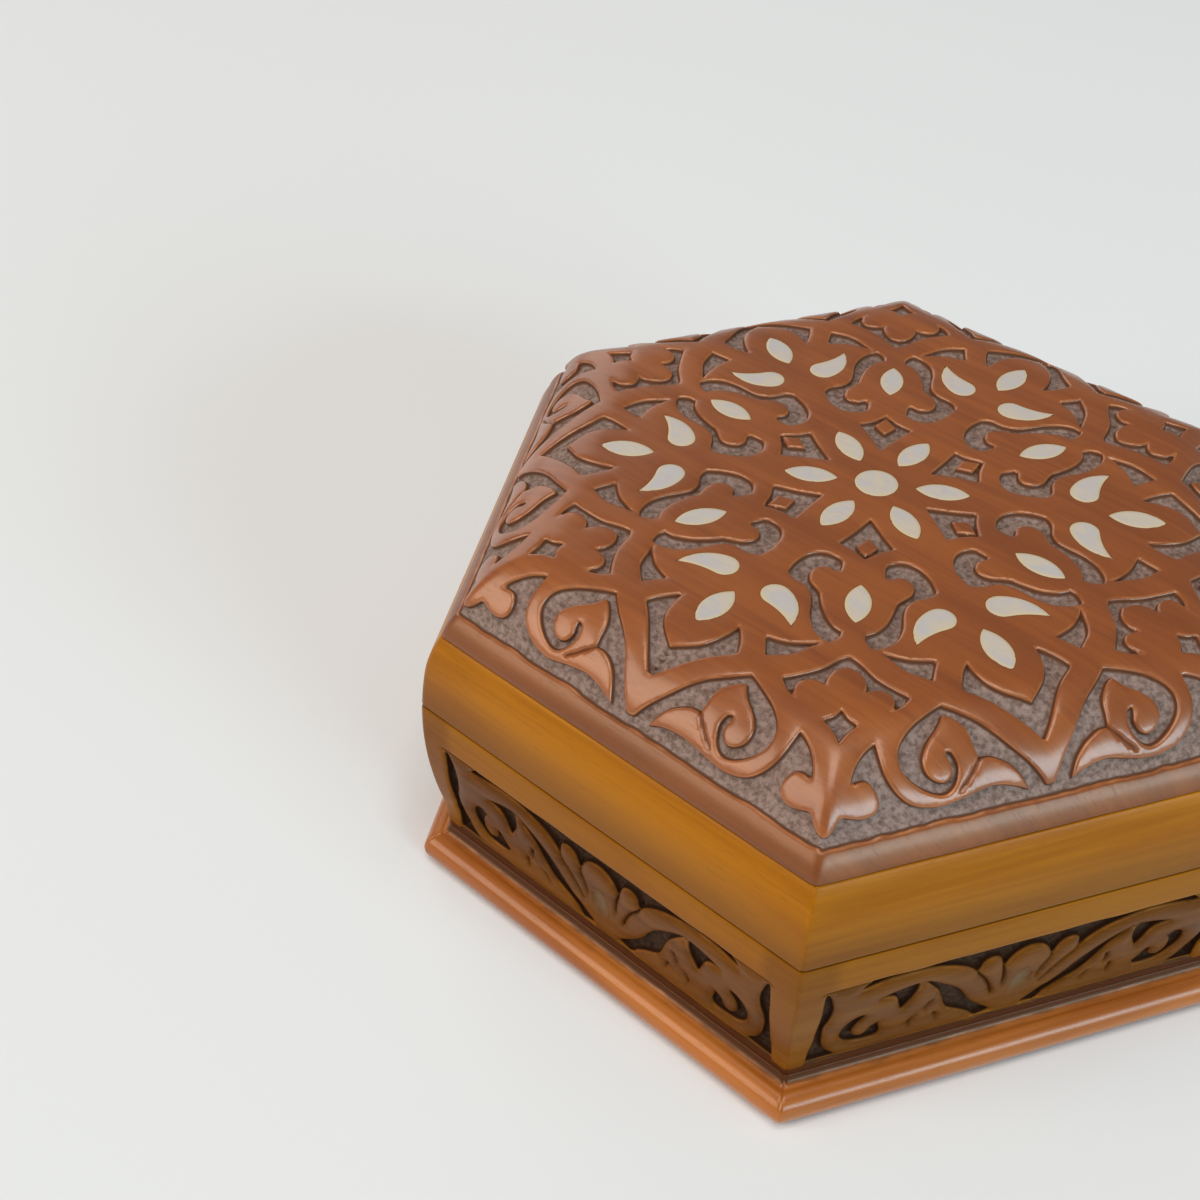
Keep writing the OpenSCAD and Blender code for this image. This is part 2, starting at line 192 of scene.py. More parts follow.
# A wall pad: its columns and rows of points, its thickness at the edge, and what it gains inside of that
PAD_COLUMNS = 40
PAD_ROWS = 22
PAD_EDGE = 0.65
PAD_FILL = 0.55
PAD_CROWN = 0.25

# Distance of the lamps and half the width of the floor, in metres
LAMP_DISTANCE = 3
FLOOR_REACH = 6


# A face's normal, across and along the line to the next corner
FACE_NORMAL = (0.5, 0.866)


def from_face(out, side):
    """Corner coordinates of a point given by its distance out along a face's normal, and to its side."""
    across, along = FACE_NORMAL
    return across * out - along * side, along * out + across * side


# The lid's carving, as a twelfth of the top: x is the distance from the line to a corner, y the distance
# along it. Each outline is a list of runs, and a run is a smooth curve that starts where the last one ends.
# The ground is cut away inside an outline, and an outline in another one is an island of wood.
STAR_NOTCH = [
    [(0, 9.8), (1.2, 11.8), (2.4, 13.8), (4.4, 16.7)],
    [(2.2, 18.0), (0, 20.0)],
]
STAR_LOZENGE = [[(0, 14.6), (1.8, 17)], [(0, 19.4)]]
BUD_CHANNEL = [
    [(3.4, 22.6), (3.5, 21.2), (4.6, 20.2), (6.5, 19.8), (8.6, 20.6), (10.4, 22.8), (11.5, 25.5)],
    [(10.5, 27), (8.5, 28.2), (7.3, 29.8), (7, 32), (7, 35), (6.2, 37.8), (4.6, 39.8), (3.2, 40.4)],
    [(2, 38.8), (1.9, 37.6)],
    [(3.4, 36.6), (4.8, 34.4), (5.6, 31.6), (5.9, 29.6)],
    [(6.6, 28.6), (7.8, 27), (8, 25), (7.2, 23.7), (5.6, 23.2), (4.3, 23.9), (3.6, 24)],
    [(3.4, 22.6)],
]
SIDE_SLIT = [
    [(12.6, 41.2), (9, 41.8), (6, 41.4), (4.6, 40.9)],
    [(6, 42.2), (8.5, 44.2), (12.2, 45.2)],
    [(12.4, 43), (12.6, 41.2)],
]
PALMETTE_CRESCENT = [
    [(0, 42.9), (1.2, 43.6), (3.8, 46.3), (6.5, 48), (9.2, 49.4)],
    [(8.2, 51.4), (6.9, 52.8)],
    [(7.3, 51.2), (6.8, 49.6), (5.2, 48.8), (3.6, 49.2), (2.9, 49.9)],
    [(2.9, 48), (1.9, 46.1), (0, 45.1)],
]
RIDGE_KITE = [[(0, 54.2), (1, 55.6), (2.5, 56.4)], [(1.2, 57.8), (0, 60)]]
FLOWER_VEE = [
    [from_face(57.5, 0), from_face(54.6, 2.6), from_face(50.5, 6.1), from_face(48.1, 8.7)],
    [from_face(46.3, 7.9), from_face(44.6, 6.8), from_face(43.2, 5.6)],
    [from_face(45.5, 5.4), from_face(48.1, 4.6), from_face(50.2, 3.2), from_face(52.7, 0)],
]
SHOULDER_GROUND = [
    [from_face(61.6, 0), (30.3, 53.7)],
    [(25, 52.3), (20, 50.9), (16.5, 50.3), (13.4, 49.7)],
    [(11.6, 52), (9.6, 55), (8.6, 58), (9.4, 60.4), (11.6, 61.4), (14.2, 61.3), (16.2, 60.4), (17.2, 58.8)]
    + [(17.1, 57), (16, 55.9)],
    [(15.2, 56.1), (15.4, 56.7)],
    [(16.2, 57.3), (16.4, 58.4), (15.5, 59.6), (14, 60), (12.7, 59.6), (12, 58.2), (12.4, 56)]
    + [(13.5, 53.5), (13.9, 51.3)],
    [(15.5, 51.4), (17.8, 52.4), (19.2, 54.2), (20, 55.2)],
    [(21.6, 54.4), (24, 54.1), (26, 54.4), (27.8, 55.1)],
    [(25.5, 55.8), (22.5, 57.1), (20, 58.8), (17.5, 60.6), (15.5, 61.9), (13, 63), (11, 63.4)]
    + [(9, 63), (7.4, 61.8), (6.2, 60), (5.3, 58.3)],
    [(3.9, 60.6), (3, 63.2), (2.8, 65)],
    [(4, 64), (5.3, 63.6), (6.8, 64.6), (6.8, 65.9), (5.4, 67.1), (3.5, 67.9), (2.1, 68.3)],
    [(1.7, 69.2), (1, 70.3), (0, 71.1)],
    [(0, BORDER_APOTHEM / COS30)],
    [from_face(BORDER_APOTHEM, 0)],
]
LID_OUTLINES = [STAR_NOTCH, STAR_LOZENGE, BUD_CHANNEL, SIDE_SLIT, PALMETTE_CRESCENT, RIDGE_KITE]
LID_OUTLINES += [FLOWER_VEE, SHOULDER_GROUND]
LID_GROOVES = [[[(18, 59.3), (18.9, 57.8), (19.5, 56.4), (20, 55.2)]]]
# The middle line of the leaf's narrow curl, which the lattice needs points on
LEAF_CURL = [[(14.2, 60.7), (15.9, 60), (16.8, 58.6), (16.6, 57.2), (15.7, 56.3)]]

# The carving of half a wall panel: x is the distance from the middle of the wall, y the height
PANEL_HALF = 34.5
PANEL_LOW = 9.9
PANEL_HIGH = 32
PANEL_OUTLINES = [
    [
        [(0, PANEL_HIGH)],
        [(24, PANEL_HIGH)],
        [(27, 31.6), (28.7, 29.7)],
        [(26.5, 30.2), (24, 30.8), (20, 31.1), (17, 30.7), (14, 29.8), (11.5, 28.5), (9.7, 27), (8.5, 25.2)],
        [(8.3, 27), (7.9, 28.4), (6.5, 29), (5.2, 28.3), (4.6, 26.8), (4.2, 25.2)],
        [(3.2, 27.5), (1.8, 29), (0, 29.6)],
    ],
    [
        [(18.2, 27.6), (15.5, 25.9), (12.5, 23.5), (10.3, 20.8), (8.8, 18), (7.2, 15), (5.2, 12.8)]
        + [(2.6, 10.4)],
        [(5.6, PANEL_LOW)],
        [(6.6, 11.3), (8.6, 13), (10.8, 14.6), (12.2, 17), (13.2, 19.8), (14.4, 22.8), (16.2, 25.3)]
        + [(18.2, 27.6)],
    ],
    [
        [(18.7, 27.4), (20.3, 27.2), (22.5, 26.6), (25, 25.7)],
        [(22.6, 25.2), (21.6, 24), (21, 22), (20.4, 20)],
        [(19.6, 21.6), (18.8, 23.6), (18.5, 25.6), (18.7, 27.4)],
    ],
    [
        [(26.3, 20.3), (27, 21.6), (28.5, 21), (29.6, 19), (29.8, 16.6), (29.2, 14.2), (27.8, 12.7)]
        + [(25.5, 12.2), (22.8, 12.2)],
        [(22.4, 13.6), (23, 15.6), (23.6, 17.8)],
        [(24.5, 16.8), (24.8, 15), (25.7, 13.9), (27, 14.2), (27.7, 15.8), (27.6, 18), (27, 19.6)]
        + [(26.3, 20.3)],
    ],
    [
        [(PANEL_HALF, 31.3)],
        [(PANEL_HALF, PANEL_LOW)],
        [(29.5, PANEL_LOW)],
        [(31.2, 11.6), (32.4, 14), (33.1, 17.5), (33.2, 20.5), (32.6, 23), (32.5, 26), (33.2, 29), (34, 31)],
        [(PANEL_HALF, 31.3)],
    ],
]
PANEL_GROOVES = [
    [[(8.5, 25.2), (6.6, 22.5), (5.2, 19.6), (4.3, 17)]],
    [[(4.2, 25.2), (3.4, 22.5), (3, 19.5)]],
    [[(15.3, 20.6), (15.7, 19), (15.8, 17.4)]],
    [[(17.2, 16.4), (17.6, 15), (17.6, 13.4)]],
    [[(13.6, 15.4), (13.3, 14.2), (12.8, 13)]],
    [[(-1, 9.6), (12, 9.6), (24, 9.6), (PANEL_HALF, 9.6)]],
    [[(22, PANEL_HIGH), (26, PANEL_HIGH), (30, PANEL_HIGH), (PANEL_HALF, PANEL_HIGH)]],
]
# The hollow in the middle bud: its height over the foot, its half width and its half height
BUD_OVAL_Z = 19.5
BUD_OVAL_HALF = (1.9, 4.4)

# Height under which the rails darken towards the seam with painted shade
SHADE_Z = 49


def smooth_run(points):
    """A smooth curve through a run's points. Two points stay a straight edge."""
    if len(points) == 2:
        return [points[1]]
    ends = [2 * points[0] - points[1], *points, 2 * points[-1] - points[-2]]
    curve = []
    for before, start, end, after in zip(ends, ends[1:], ends[2:], ends[3:]):
        steps = max(2, int(np.linalg.norm(end - start) / CURVE_STEP))
        for t in np.linspace(0, 1, steps + 1)[1:]:
            bend = (2 * before - 5 * start + 4 * end - after) * t**2
            twist = (3 * (start - end) + after - before) * t**3
            curve.append(start + 0.5 * ((end - before) * t + bend + twist))
    return curve


def traced(runs):
    """The points of an outline or a groove, run after run."""
    last = np.array(runs[0][0], float)
    points = [last]
    for number, run in enumerate(runs):
        through = [last] + [np.array(p, float) for p in (run[1:] if number == 0 else run)]
        if len(through) > 1:
            points.extend(smooth_run(through))
        last = points[-1]
    return np.array(points)


def segments(lines, closed):
    """Start and end points of all the stretches of some lines."""
    starts = np.concatenate([line if closed else line[:-1] for line in lines])
    ends = np.concatenate([np.roll(line, -1, axis=0) if closed else line[1:] for line in lines])
    return starts, ends


def in_parts(points):
    """Slices of a long list of points, so that a table of points by stretches stays small."""
    for start in range(0, len(points), PART_SIZE):
        yield slice(start, start + PART_SIZE)


def nearest(points, starts, ends):
    """Distance from each point to the nearest stretch, and a turn that is less than 0 on its right."""
    along = ends - starts
    length_2 = np.maximum((along**2).sum(1), 1e-9)
    distance, turn = np.empty((2, len(points)))
    for part in in_parts(points):
        px = points[part, :1] - starts[:, 0]
        py = points[part, 1:2] - starts[:, 1]
        t = np.clip((px * along[:, 0] + py * along[:, 1]) / length_2, 0, 1)
        away = np.hypot(px - t * along[:, 0], py - t * along[:, 1])
        rows, best = np.arange(len(away)), away.argmin(1)
        distance[part] = away[rows, best]
        turn[part] = along[best, 0] * py[rows, best] - along[best, 1] * px[rows, best]
    return distance, turn


def beside(points, lines):
    """Distance to the nearest of some lines, less than 0 close to them on their right."""
    distance, turn = nearest(points, *segments(lines, closed=False))
    return np.where((turn < 0) & (distance < SIGNED_REACH), -distance, distance)


def inside(points, starts, ends):
    """Whether each point lies inside an odd number of the closed outlines."""
    rise = ends[:, 1] - starts[:, 1]
    lean = (ends[:, 0] - starts[:, 0]) / np.where(rise == 0, 1, rise)
    result = np.empty(len(points), bool)
    for part in in_parts(points):
        px, py = points[part, :1], points[part, 1:2]
        passes = (starts[:, 1] > py) != (ends[:, 1] > py)
        result[part] = (passes & (px < starts[:, 0] + (py - starts[:, 1]) * lean)).sum(1) % 2 == 1
    return result


def signed_distance(points, outlines, on_mirror=None):
    """Distance to the nearest outline, more than 0 inside. Stretches on a mirror line don't count."""
    starts, ends = segments(outlines, closed=True)
    hidden = np.zeros(len(starts), bool) if on_mirror is None else on_mirror(starts, ends)
    away = nearest(points, starts[~hidden], ends[~hidden])[0]
    return np.where(inside(points, starts, ends), away, -away)


def waves(x, y, drift, seed):
    """A smooth uneven field of about minus to plus a drift's height, with features of its length."""
    random = np.random.default_rng(seed)
    total = np.zeros_like(x)
    count = 7
    for _ in range(count):
        angle, phase = random.uniform(0, 2 * np.pi, 2)
        rate = 2 * np.pi / (drift[1] * random.uniform(0.7, 1.5))
        total += np.sin(rate * (x * np.cos(angle) + y * np.sin(angle)) + phase)
    return drift[0] * total / np.sqrt(2 * count)


def between_steps(value, low, high):
    """0 below low and 1 above high, with a smooth rise between them."""
    t = np.clip((value - low) / (high - low), 0, 1)
    return t * t * (3 - 2 * t)


def round_over(share):
    """Drop of a quarter round: 1 at the edge and 0 a whole width away from it."""
    return 1 - np.sqrt(1 - (1 - np.clip(share, 0, 1)) ** 2)


def relief_height(ground, groove, depth, crown):
    """Height of the carved surface, from the distance into the ground and the distance to a groove."""
    wood = np.clip(-ground, 0, None)
    fall = (1 - np.clip(np.minimum(wood, groove) / CROWN_WIDTH, 0, 1)) ** 2
    foot = np.clip(ground / WALL_FOOT, 0, 1)
    fillet = np.clip((ground - WALL_FOOT) / (FILLET_END - WALL_FOOT), 0, 1)
    edge = EDGE_DROP + crown
    fallen = WALL_SHARE * foot + (1 - WALL_SHARE) * fillet * (2 - fillet)
    bottom = -edge - (depth - edge) * fallen
    line = GROOVE_DEPTH * np.clip(1 - groove / GROOVE_LEVELS[-1], 0, 1) ** 1.3
    return np.where(ground > 0, bottom, -EDGE_DROP * round_over(wood / EDGE_WIDTH) - crown * fall - line)


class Profile:
    """A line of (out, up) points that is read by the length along it."""

    def __init__(self, *stretches):
        points = np.concatenate([np.atleast_2d(s) for s in stretches]).astype(float)
        steps = np.linalg.norm(np.diff(points, axis=0), axis=1)
        self.points = points[np.append(True, steps > 1e-6)]
        self.length = np.append(0, np.cumsum(steps[steps > 1e-6]))

    def at(self, s):
        """Distance out and height at each length."""
        return np.interp(s, self.length, self.points[:, 0]), np.interp(s, self.length, self.points[:, 1])

    def normal(self, s, reach=0.15):
        """The outward direction at each length, as its parts out and up."""
        out_0, up_0 = self.at(s - reach)
        out_1, up_1 = self.at(s + reach)
        size = np.maximum(np.hypot(out_1 - out_0, up_1 - up_0), 1e-9)
        return -(up_1 - up_0) / size, (out_1 - out_0) / size


def arc(centre, radius, start, end, steps=24):
    """Points round an arc. Angles are in degrees, from straight out."""
    angles = np.radians(np.linspace(start, end, steps + 1))
    return np.column_stack([centre[0] + radius * np.cos(angles), centre[1] + radius * np.sin(angles)])


def arc_through(start, end, radius):
    """Points of a shallow arc between two points that bulges to the left of the way, seen along it."""
    start, end = np.array(start, float), np.array(end, float)
    chord = end - start
    left = np.array([-chord[1], chord[0]]) / np.linalg.norm(chord)
    centre = (start + end) / 2 - left * np.sqrt(radius**2 - chord @ chord / 4)
    first = np.degrees(np.arctan2(*(start - centre)[::-1]))
    last = np.degrees(np.arctan2(*(end - centre)[::-1]))
    return arc(centre, radius, first, last)


def eased(points, radius):
    """A closed outline with each sharp corner rounded."""
    result = []
    for before, corner, after in zip(np.roll(points, 1, axis=0), points, np.roll(points, -1, axis=0)):
        back = (before - corner) / np.linalg.norm(before - corner)
        on = (after - corner) / np.linalg.norm(after - corner)
        if back @ on < NEARLY_STRAIGHT:
            result.append(corner)
            continue
        for t in np.linspace(0, 1, 5):
            result.append(corner + radius * (back * (1 - t) ** 2 + on * t**2))
    return np.array(result)


def side_angle(k):
    """Direction of the outward normal of side k, counted anticlockwise from the front."""
    return np.radians(270 + 60 * (k - 1))


def face_weights(x, y, sharpness):
    """How much each of the six faces counts at a place, and the smooth distance out to them."""
    angles = side_angle(np.arange(1, 7))
    outs = np.outer(x, np.cos(angles)) + np.outer(y, np.sin(angles))
    highest = outs.max(1, keepdims=True)
    weights = np.exp(sharpness * (outs - highest))
    total = weights.sum(1, keepdims=True)
    return weights / total, angles, (highest + np.log(total) / sharpness)[:, 0]


def placed(profile, s, x, y, height, sharpness=MITRE_SHARPNESS):
    """Points in space: x and y are the plan on a hexagon of distance out 1, raised along the normal."""
    out, up = profile.at(s)
    normal_out, normal_up = profile.normal(s)
    x, y = x * out, y * out
    _, _, smooth_out = face_weights(x, y, sharpness)
    pull = np.where(out > 1, out / np.maximum(smooth_out, 1), 1)
    fade = np.clip((out - FLAT_APOTHEM) / CORNER_FADE, 0, 1)
    x, y = x * (1 + (pull - 1) * fade), y * (1 + (pull - 1) * fade)
    weights, angles, _ = face_weights(x, y, NORMAL_SHARPNESS)
    across = np.column_stack([weights @ np.cos(angles), weights @ np.sin(angles)])
    across /= np.maximum(np.linalg.norm(across, axis=1, keepdims=True), 1e-9)
    moved = (height * normal_out)[:, None] * across
    return np.column_stack([x + moved[:, 0], y + moved[:, 1], up + height * normal_up])


def mesh_from(points, faces, scale=MM):
    """A mesh from points in millimetres. A flat grid keeps its own units, with a scale of 1."""
    mesh = bpy.data.meshes.new("grid")
    mesh.from_pydata((np.asarray(points, float) * scale).tolist(), [], faces)
    return mesh


@contextmanager
def editing(mesh):
    """Opens a mesh for operations, and writes their result back to it."""
    bm = bmesh.new()
    bm.from_mesh(mesh)
    yield bm
    bm.to_mesh(mesh)
    bm.free()


def cut_by_plane(bm, place, normal, **settings):
    """Splits all of an open mesh along a plane."""
    geom = bm.verts[:] + bm.edges[:] + bm.faces[:]
    return bmesh.ops.bisect_plane(bm, geom=geom, plane_co=place, plane_no=normal, **settings)


def tube(count, rows, ends=2):
    """Faces of a tube of closed rings of points, with both of its ends or only the last."""
    sides = [
        (c + r, c + rows + r, c + rows + (r + 1) % rows, c + (r + 1) % rows)
        for c in range(0, (count - 1) * rows, rows)
        for r in range(rows)
    ]
    last = count * rows
    return sides + [tuple(range(rows)), tuple(range(last - 1, last - rows - 1, -1))][2 - ends:]


def vertex_points(mesh):
    """All the points of a mesh as an array."""
    values = np.empty(len(mesh.vertices) * 3)
    mesh.vertices.foreach_get("co", values)
    return values.reshape(-1, 3)


def split_along(mesh, values, levels):
    """Splits a flat mesh along the lines where a value has each level. The value is left in z."""
    points = vertex_points(mesh)
    points[:, 2] = values
    set_points(mesh, points, scale=1)
    with editing(mesh) as bm:
        for level in levels:
            cut_by_plane(bm, (0, 0, level), (0, 0, 1), dist=SPLIT_REACH)


def snapped(values, levels):
    """Values with those next to a level moved onto it."""
    for level in levels:
        values = np.where(abs(values - level) < SNAP_REACH, level, values)
    return values


def set_points(mesh, points, scale=MM):
    mesh.vertices.foreach_set("co", (points * scale).ravel())


def add_attributes(mesh, **fields):
    """Values or vectors for each point, for the material to read."""
    for name, values in fields.items():
        kind, key = ("FLOAT", "value") if values.ndim == 1 else ("FLOAT_VECTOR", "vector")
        data = mesh.attributes.new(name, kind, "POINT").data
        data.foreach_set(key, values.astype(np.float32).ravel())


def add_object(name, data):
    """Puts a new object into the scene."""
    obj = bpy.data.objects.new(name, data)
    bpy.context.scene.collection.objects.link(obj)
    return obj


def finish_solid(name, mesh, sharp=SHARP_ANGLE):
    """Turns the faces outward, smooths the shading between sharp edges and makes the object."""
    mesh.name = name
    with editing(mesh) as bm:
        bmesh.ops.recalc_face_normals(bm, faces=bm.faces)
    mesh.shade_smooth()
    mesh.set_sharp_from_angle(angle=np.radians(sharp))
    return add_object(name, mesh)


def hex_lattice(reach, step):
    """Points, triangles and rim of a hexagon of triangles, with its corners at multiples of 60 degrees."""
    n = round(reach / COS30 / step)
    step = reach / COS30 / n
    i, j = np.meshgrid(np.arange(-n, n + 1), np.arange(-n, n + 1), indexing="ij")
    within = abs(i + j) <= n
    number = np.full(i.shape, -1)
    number[within] = np.arange(within.sum())
    points = step * np.column_stack([(i + 0.5 * j)[within], (np.sqrt(0.75) * j)[within]])
    upright = np.stack([number[:-1, :-1], number[1:, :-1], number[:-1, 1:]], axis=-1).reshape(-1, 3)
    inverted = np.stack([number[1:, :-1], number[1:, 1:], number[:-1, 1:]], axis=-1).reshape(-1, 3)
    triangles = np.concatenate([upright, inverted])
    triangles = triangles[(triangles >= 0).all(1)]
    corners = np.array([(n, 0), (0, n), (-n, n), (-n, 0), (0, -n), (n, -n)])
    rim = []
    for corner, following in zip(corners, np.roll(corners, -1, axis=0)):
        for step_number in range(n):
            a, b = corner + (following - corner) * step_number // n
            rim.append(number[a + n, b + n])
    return points, triangles, np.array(rim)


def folded(points):
    """Each point's distance from the nearest face's normal, and its distance out along it."""
    angle = np.arctan2(points[:, 1], points[:, 0])
    sixth = np.radians(60)
    from_normal = angle - sixth * (np.floor(angle / sixth) + 0.5)
    radius = np.hypot(points[:, 0], points[:, 1])
    return np.column_stack([radius * abs(np.sin(from_normal)), radius * np.cos(from_normal)])


# The lid's profile: flat top, shoulder, convex border, eased lower edge and a strip of the underside
shoulder_in = BORDER_APOTHEM - FLAT_APOTHEM
shoulder_down = box_h - BORDER_Z
shoulder_r = (shoulder_in**2 + shoulder_down**2) / (2 * shoulder_down)
shoulder_turn = np.degrees(np.arcsin(shoulder_in / shoulder_r))
border_end = (board_apothem, board_z + ARRIS)
lid_profile = Profile(
    (0, box_h),
    arc((FLAT_APOTHEM, box_h - shoulder_r), shoulder_r, 90, 90 - shoulder_turn, 60),
    arc_through((BORDER_APOTHEM, BORDER_Z), border_end, BORDER_R),
    (board_apothem - 0.1, board_z + 0.1),
    (board_apothem - ARRIS, board_z),
    (board_apothem - 2, board_z),
)
shoulder_length = shoulder_r * np.radians(shoulder_turn)
border_start = FLAT_APOTHEM + shoulder_length
border_length = lid_profile.length[np.argmin(abs(lid_profile.points - border_end).sum(1))]


def unrolled(points):
    """Carving points of the top in the lid's unrolled plan, as folded() gives it."""
    across, along = FACE_NORMAL
    out = across * points[:, 0] + along * points[:, 1]
    side = along * points[:, 0] - across * points[:, 1]
    beyond = np.clip((out - FLAT_APOTHEM) / shoulder_r, 0, 1)
    flat = np.minimum(out, FLAT_APOTHEM) + shoulder_r * np.arcsin(beyond)
    return np.column_stack([-side * flat / np.maximum(out, 1e-6), flat])


def on_lid_mirror(starts, ends):
    """Whether a stretch lies along a face's normal or along the line to a corner."""
    def off_axis(points):
        return points[:, 0], points[:, 1] * TAN30 - points[:, 0]

    both = zip(off_axis(starts), off_axis(ends))
    return np.any([(abs(a) < 0.02) & (abs(b) < 0.02) for a, b in both], axis=0)


def on_panel_mirror(starts, ends):
    """Whether a stretch lies on the middle line of a wall."""
    return (starts[:, 0] < 0.001) & (ends[:, 0] < 0.001)


def top_outlines(node):
    """Outlines of the top face of a CAD inlay, in plan."""
    bm = bmesh.new()
    bm.from_mesh(frame["nodes"][node].data)
    bmesh.ops.remove_doubles(bm, verts=bm.verts, dist=0.001 * MM)
    top = max(v.co.z for v in bm.verts) - 0.01 * MM
    left = {
        e
        for e in bm.edges
        if all(v.co.z > top for v in e.verts) and any(v.co.z < top for f in e.link_faces for v in f.verts)
    }
    lines = []
    while left:
        edge = left.pop()
        start, vert = edge.verts
        line = [start.co.xy / MM, vert.co.xy / MM]
        while vert is not start:
            edge = next(e for e in vert.link_edges if e in left)
            left.discard(edge)
            vert = edge.other_vert(vert)
            line.append(vert.co.xy / MM)
        lines.append(np.array([tuple(p) for p in line[:-1]]))
    bm.free()
    return lines


def pearl_distance(points):
    """Distance into the nearest inlay, for points as folded() gives them."""
    near_side = 3
    nodes = ("pearl_centre", f"pearl_star_petal_{near_side}", "pearl_bud_1", f"pearl_flower_{near_side}")
    lines = [line for node in nodes for line in top_outlines(node)]
    side, out = points.T
    angle = side_angle(near_side)
    x = out * np.cos(angle) + side * np.sin(angle)
    y = out * np.sin(angle) - side * np.cos(angle)
    return signed_distance(np.column_stack([x, y]), lines)


def make_lid():
    """The carved top: a lattice over the unrolled plan, split along the carving and raised into relief."""
    points, triangles, rim = hex_lattice(border_length, LATTICE_STEP)
    rings = [points]
    faces = [tuple(t) for t in triangles.tolist()]
    last = rim
    for length in lid_profile.length[lid_profile.length > border_length + 1e-6]:
        ring = np.arange(len(rim)) + sum(len(r) for r in rings)
        rings.append(points[rim] * length / border_length)
        sides = np.column_stack([last, np.roll(last, -1), np.roll(ring, -1), ring])
        faces.extend(tuple(side) for side in sides.tolist())
        last = ring
    faces.append(tuple(last.tolist()))
    flat = np.concatenate(rings)
    mesh = mesh_from(np.column_stack([flat, np.zeros(len(flat))]), faces, scale=1)

    outlines = [unrolled(traced(runs)) for runs in LID_OUTLINES]
    grooves = [unrolled(traced(runs)) for runs in LID_GROOVES]
    guides = [*grooves, unrolled(traced(LEAF_CURL))]

    def guide_at(points):
        return beside(points, guides)

    def ground_at(points):
        return signed_distance(points, outlines, on_lid_mirror)

    fields = ((guide_at, GROOVE_LEVELS), (ground_at, RELIEF_LEVELS), (pearl_distance, PEARL_LEVELS))
    for field, levels in fields:
        split_along(mesh, field(folded(vertex_points(mesh))), levels)
    x, y, _ = vertex_points(mesh).T
    points = folded(np.column_stack([x, y]))
    ground = snapped(ground_at(points), RELIEF_LEVELS)
    groove = nearest(points, *segments(grooves, closed=False))[0]
    pearl = snapped(pearl_distance(points), PEARL_LEVELS)

    out = points[:, 1]
    free = np.clip(-pearl / 2, 0, 1) * np.clip((border_length - 0.5 - out) / 3, 0, 1)
    near_border = free * np.clip(1 - abs(out - border_start), 0, 1)
    x = x + free * waves(x, y, PLAN_DRIFT, 1) + near_border * waves(x, y, RIM_DRIFT, 11)
    y = y + free * waves(x, y, PLAN_DRIFT, 2) + near_border * waves(x, y, RIM_DRIFT, 12)
    on_shoulder = between_steps(out, FLAT_APOTHEM - 3, FLAT_APOTHEM + 6)
    on_border = between_steps(out, border_start - 1.8, border_start)
    crown = FLAT_CROWN + (SHOULDER_CROWN - FLAT_CROWN) * on_shoulder * (1 - on_border)
    depth = BORDER_DEPTH + (LID_DEPTH - BORDER_DEPTH) * between_steps(border_start - out, 0, 2.4)
    height = relief_height(ground, groove, depth, crown)
    height += np.clip(ground / FILLET_END, 0, 1) * waves(x, y, GROUND_DRIFT, 3)
    uneven = waves(x, y, STRAP_DRIFT, 4) - STRAP_DRIFT[0]
    height += uneven * np.clip(-ground, 0, 1) * np.clip(-pearl, 0, 1)
    height = np.minimum(height, -PEARL_SEAT * np.clip(1 + pearl / SEAT_WIDTH, 0, 1))
    height = np.where(pearl > 0.1, -POCKET_DEPTH, height)
    length = np.maximum(folded(np.column_stack([x, y]))[:, 1], 1e-6)
    set_points(mesh, placed(lid_profile, length, x / length, y / length, height, LID_SHARPNESS))
    # Painted shade: the border's colour is darkened and its coat thinned
    aged = BORDER_SHADE * between_steps(out, border_start, border_start + 0.6)
    grain = np.column_stack([x, y, height])
    add_attributes(mesh, relief_mm=ground, groove_mm=groove, pearl_mm=pearl, aged=aged, grain_mm=grain)
    return finish_solid("carved_lid", mesh)


def belly(z):
    """Distance out to the bulging face at a height."""
    return belly_apothem - BELLY_R + np.sqrt(BELLY_R**2 - (z - BELLY_Z) ** 2)


def wall_profile():
    """A wall's closed outline: rim, outer face from the top down, foot and inner face."""
    rows = np.arange(base_rim_z, FOOT_TOP_Z, -WALL_STEP)
    foot_rows = np.linspace(FOOT_TOP_Z, plinth_h, 10)
    lean = (belly(FOOT_TOP_Z) - FOOT_APOTHEM) / (FOOT_TOP_Z - plinth_h)
    face = np.column_stack([belly(rows), rows])
    foot = np.column_stack([FOOT_APOTHEM + lean * (foot_rows - plinth_h), foot_rows])
    inner = [(inner_apothem, plinth_h), (inner_apothem, base_rim_z)]
    return np.concatenate([face, foot, inner])


def rail_profile():
    """A lid rail's closed outline: top, turn, bulge, rim and inner face."""
    turn_start = np.degrees(np.arcsin((RAIL_TURN_Z - BELLY_Z) / BELLY_R))
    turn_out = belly(RAIL_TURN_Z) - RAIL_TURN_R * np.cos(np.radians(turn_start))
    turn_up = RAIL_TURN_Z - RAIL_TURN_R * np.sin(np.radians(turn_start))
    turn_end = np.degrees(np.arcsin((board_z - turn_up) / RAIL_TURN_R))
    turn = arc((turn_out, turn_up), RAIL_TURN_R, turn_end, turn_start, 12)
    rows = np.linspace(RAIL_TURN_Z, lid_rim_z, 12)[1:]
    face = np.column_stack([belly(rows), rows])
    return np.concatenate([[(inner_apothem, board_z)], turn, face, [(inner_apothem, lid_rim_z)]])


